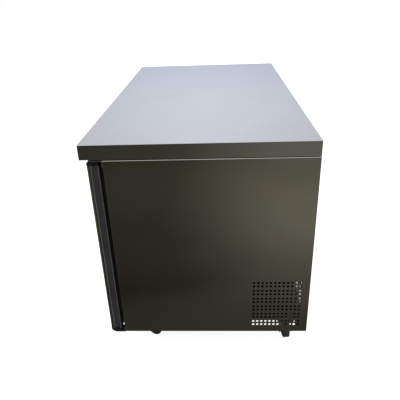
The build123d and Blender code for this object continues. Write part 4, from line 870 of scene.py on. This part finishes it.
smoked, tree, place = new_material("smoked_acrylic")
tint = add(tree, "TexNoise", {"Vector": place, "Scale": 1 / (20 * MM), "Detail": 1.0})
colour = ramp(tree, tint, {0.3: "#160608", 0.7: "#1c080a"})
window = add(tree, "BsdfPrincipled", {"Base Color": colour, "Roughness": 0.08, "IOR": 1.49})
add(tree, "OutputMaterial", {"Surface": window})
coat(smoked, "controller_window")
silicone, tree, place = new_material("silicone_keys")
skin = add(tree, "TexNoise", {"Vector": place, "Scale": 1 / (1.2 * MM), "Detail": 2.0})
colour = ramp(tree, skin, {0.3: "#8d9094", 0.7: "#9a9da0"})
key_rubber = add(tree, "BsdfPrincipled", {"Base Color": colour, "Roughness": 0.6, "IOR": 1.43})
add(tree, "OutputMaterial", {"Surface": key_rubber})
coat(silicone, "key_set", "key_up", "key_down")
lit_red, tree, place = new_material("red_diode_light")
cells = add(tree, "TexNoise", {"Vector": place, "Scale": 1 / (1.5 * MM), "Detail": 1.0})
colour = ramp(tree, cells, {0.3: "#ff2a1c", 0.7: "#ff5040"})
diode = add(tree, "Emission", {"Color": colour, "Strength": 1.4})
add(tree, "OutputMaterial", {"Surface": diode})

DIGIT_TALL, DIGIT_WIDE, STROKE, FIGURE_THICK = 11 * MM, 6.2 * MM, 1.1 * MM, 0.1 * MM
DIGIT_PITCH = 9.5 * MM
# The seven bars of a figure, as places in half digit widths and half heights: 0 top, 1 and 2 upper sides,
# 3 middle, 4 and 5 lower sides, 6 bottom.
BARS = [(0, 2, 0), (-1, 1, 1), (1, 1, 1), (0, 0, 0), (-1, -1, 1), (1, -1, 1), (0, -2, 0)]
FIGURES = [[3], [2, 5], [0, 1, 2, 3, 4, 5, 6]]
window_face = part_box("controller_window")[0][1]
centre = middle_of("controller_window")
bm = bmesh.new()
for number, figure in enumerate(FIGURES):
    for bar in figure:
        across_at, up_at, upright = BARS[bar]
        x = centre.x + (number - 1) * DIGIT_PITCH + across_at * DIGIT_WIDE / 2
        z = centre.z + up_at * DIGIT_TALL / 4
        long = (DIGIT_TALL / 2 if upright else DIGIT_WIDE) - STROKE
        before = set(bm.verts)
        bmesh.ops.create_circle(bm, cap_ends=True, segments=6, radius=0.5)
        fresh = [vert for vert in bm.verts if vert not in before]
        for vert in fresh:
            at_tip = abs(vert.co.x) < 0.1
            vert.co.x = 0 if at_tip else math.copysign(STROKE / 4, vert.co.x)
            vert.co.y = math.copysign(long / 2 + (STROKE / 2 if at_tip else 0), vert.co.y)
        turn = Matrix.Identity(4) if upright else Matrix.Rotation(math.pi / 2, 4, "Z")
        place = Matrix.Translation((x, window_face - FIGURE_THICK / 2, z)) @ facing_front @ turn
        bmesh.ops.transform(bm, matrix=place, verts=fresh)
bmesh.ops.solidify(bm, geom=bm.faces[:], thickness=FIGURE_THICK)
bmesh.ops.recalc_face_normals(bm, faces=bm.faces)
hang(bm, "display_figures", lit_red, "root", "window")

# The casters: pressed zinc-plated plates and forks with riveted king pins, on hexagon bolts.

CASTERS = ("front_right", "front_left", "rear_right", "rear_left")
coat(zinc_plate, "caster_plates", "caster_bolts", *[f"caster_fork_{name}" for name in CASTERS])

# Their wheels: one black polyamide moulding each, with eight ribs on both faces of a dished web. The tread
# picks up floor dust.

RIB_COUNT, RIB_SIZE = 8, (9 * MM, 1.4 * MM, 4 * MM, 1)
RIB_RADIUS, RIB_OUT = 13 * MM, 9 * MM  # where a rib's middle lies
tread_polymer, tree, place = new_material("black_wheel_polymer")
grit = add(tree, "TexNoise", {"Vector": place, "Scale": 1 / (5 * MM), "Detail": 5.0})
colour = ramp(tree, grit, {0.35: "#1a1a1b", 0.75: "#343230"})
relief = add(tree, "Bump", {"Height": grit, "Strength": 0.15, "Distance": 0.2 * MM})
tread = add(tree, "BsdfPrincipled", {"Base Color": colour, "Roughness": 0.62, "Normal": relief})
add(tree, "OutputMaterial", {"Surface": tread})
axles = {joint["name"]: Vector(joint["axis"]) for joint in frame["joints"]}
# Half the wheel's section, as radius and distance from its middle, in millimetres.
WHEEL_HALF_SECTION = [
    (3.6, 13.2), (8.5, 13.2), (8.5, 8.4), (9.4, 7.6), (16.6, 7.6), (17.4, 8.4), (17.8, 11.6), (18.4, 12.0),
    (21.4, 12.0), (23.2, 11.3), (24.4, 9.8), (25.0, 7.6),
]
for name in CASTERS:
    node = f"caster_wheel_{name}"
    axle = axles[f"wheel_spin_{name}"]
    place = Matrix.Translation(middle_of(node)) @ axle.to_track_quat("Z", "X").to_matrix().to_4x4()
    outline = [(radius * MM, z * MM) for radius, z in WHEEL_HALF_SECTION]
    outline += [(radius, -z) for radius, z in reversed(outline)]
    bm = bmesh.new()
    turned(bm, outline, 72, place)
    for side in (-1, 1):
        for step in range(RIB_COUNT):
            turn = Matrix.Rotation(2 * math.pi * step / RIB_COUNT, 4, "Z")
            rib = Matrix.Translation((RIB_RADIUS, 0, side * RIB_OUT)) @ Matrix.Diagonal(RIB_SIZE)
            bmesh.ops.create_cube(bm, size=1.0, matrix=place @ turn @ rib)
    hang(bm, f"wheel_{name}_moulding", tread_polymer, f"wheel_{name}", "wheel_polymer", node)

# The foot brakes of the front casters: pressed steel pedals, black by electrophoretic dip, rubbed at the
# tread.

pedal_coat, tree, place = new_material("black_dip_coat")
rubbed = add(tree, "TexNoise", {"Vector": place, "Scale": 1 / (10 * MM), "Detail": 5.0})
colour = ramp(tree, rubbed, {0.4: "#101011", 0.75: "#262524"})
rough = spread(tree, rubbed, 0.25, 0.5)
pedal = add(tree, "BsdfPrincipled", {"Base Color": colour, "Roughness": rough})
add(tree, "OutputMaterial", {"Surface": pedal})
coat(pedal_coat, "caster_brake_front_right", "caster_brake_front_left")
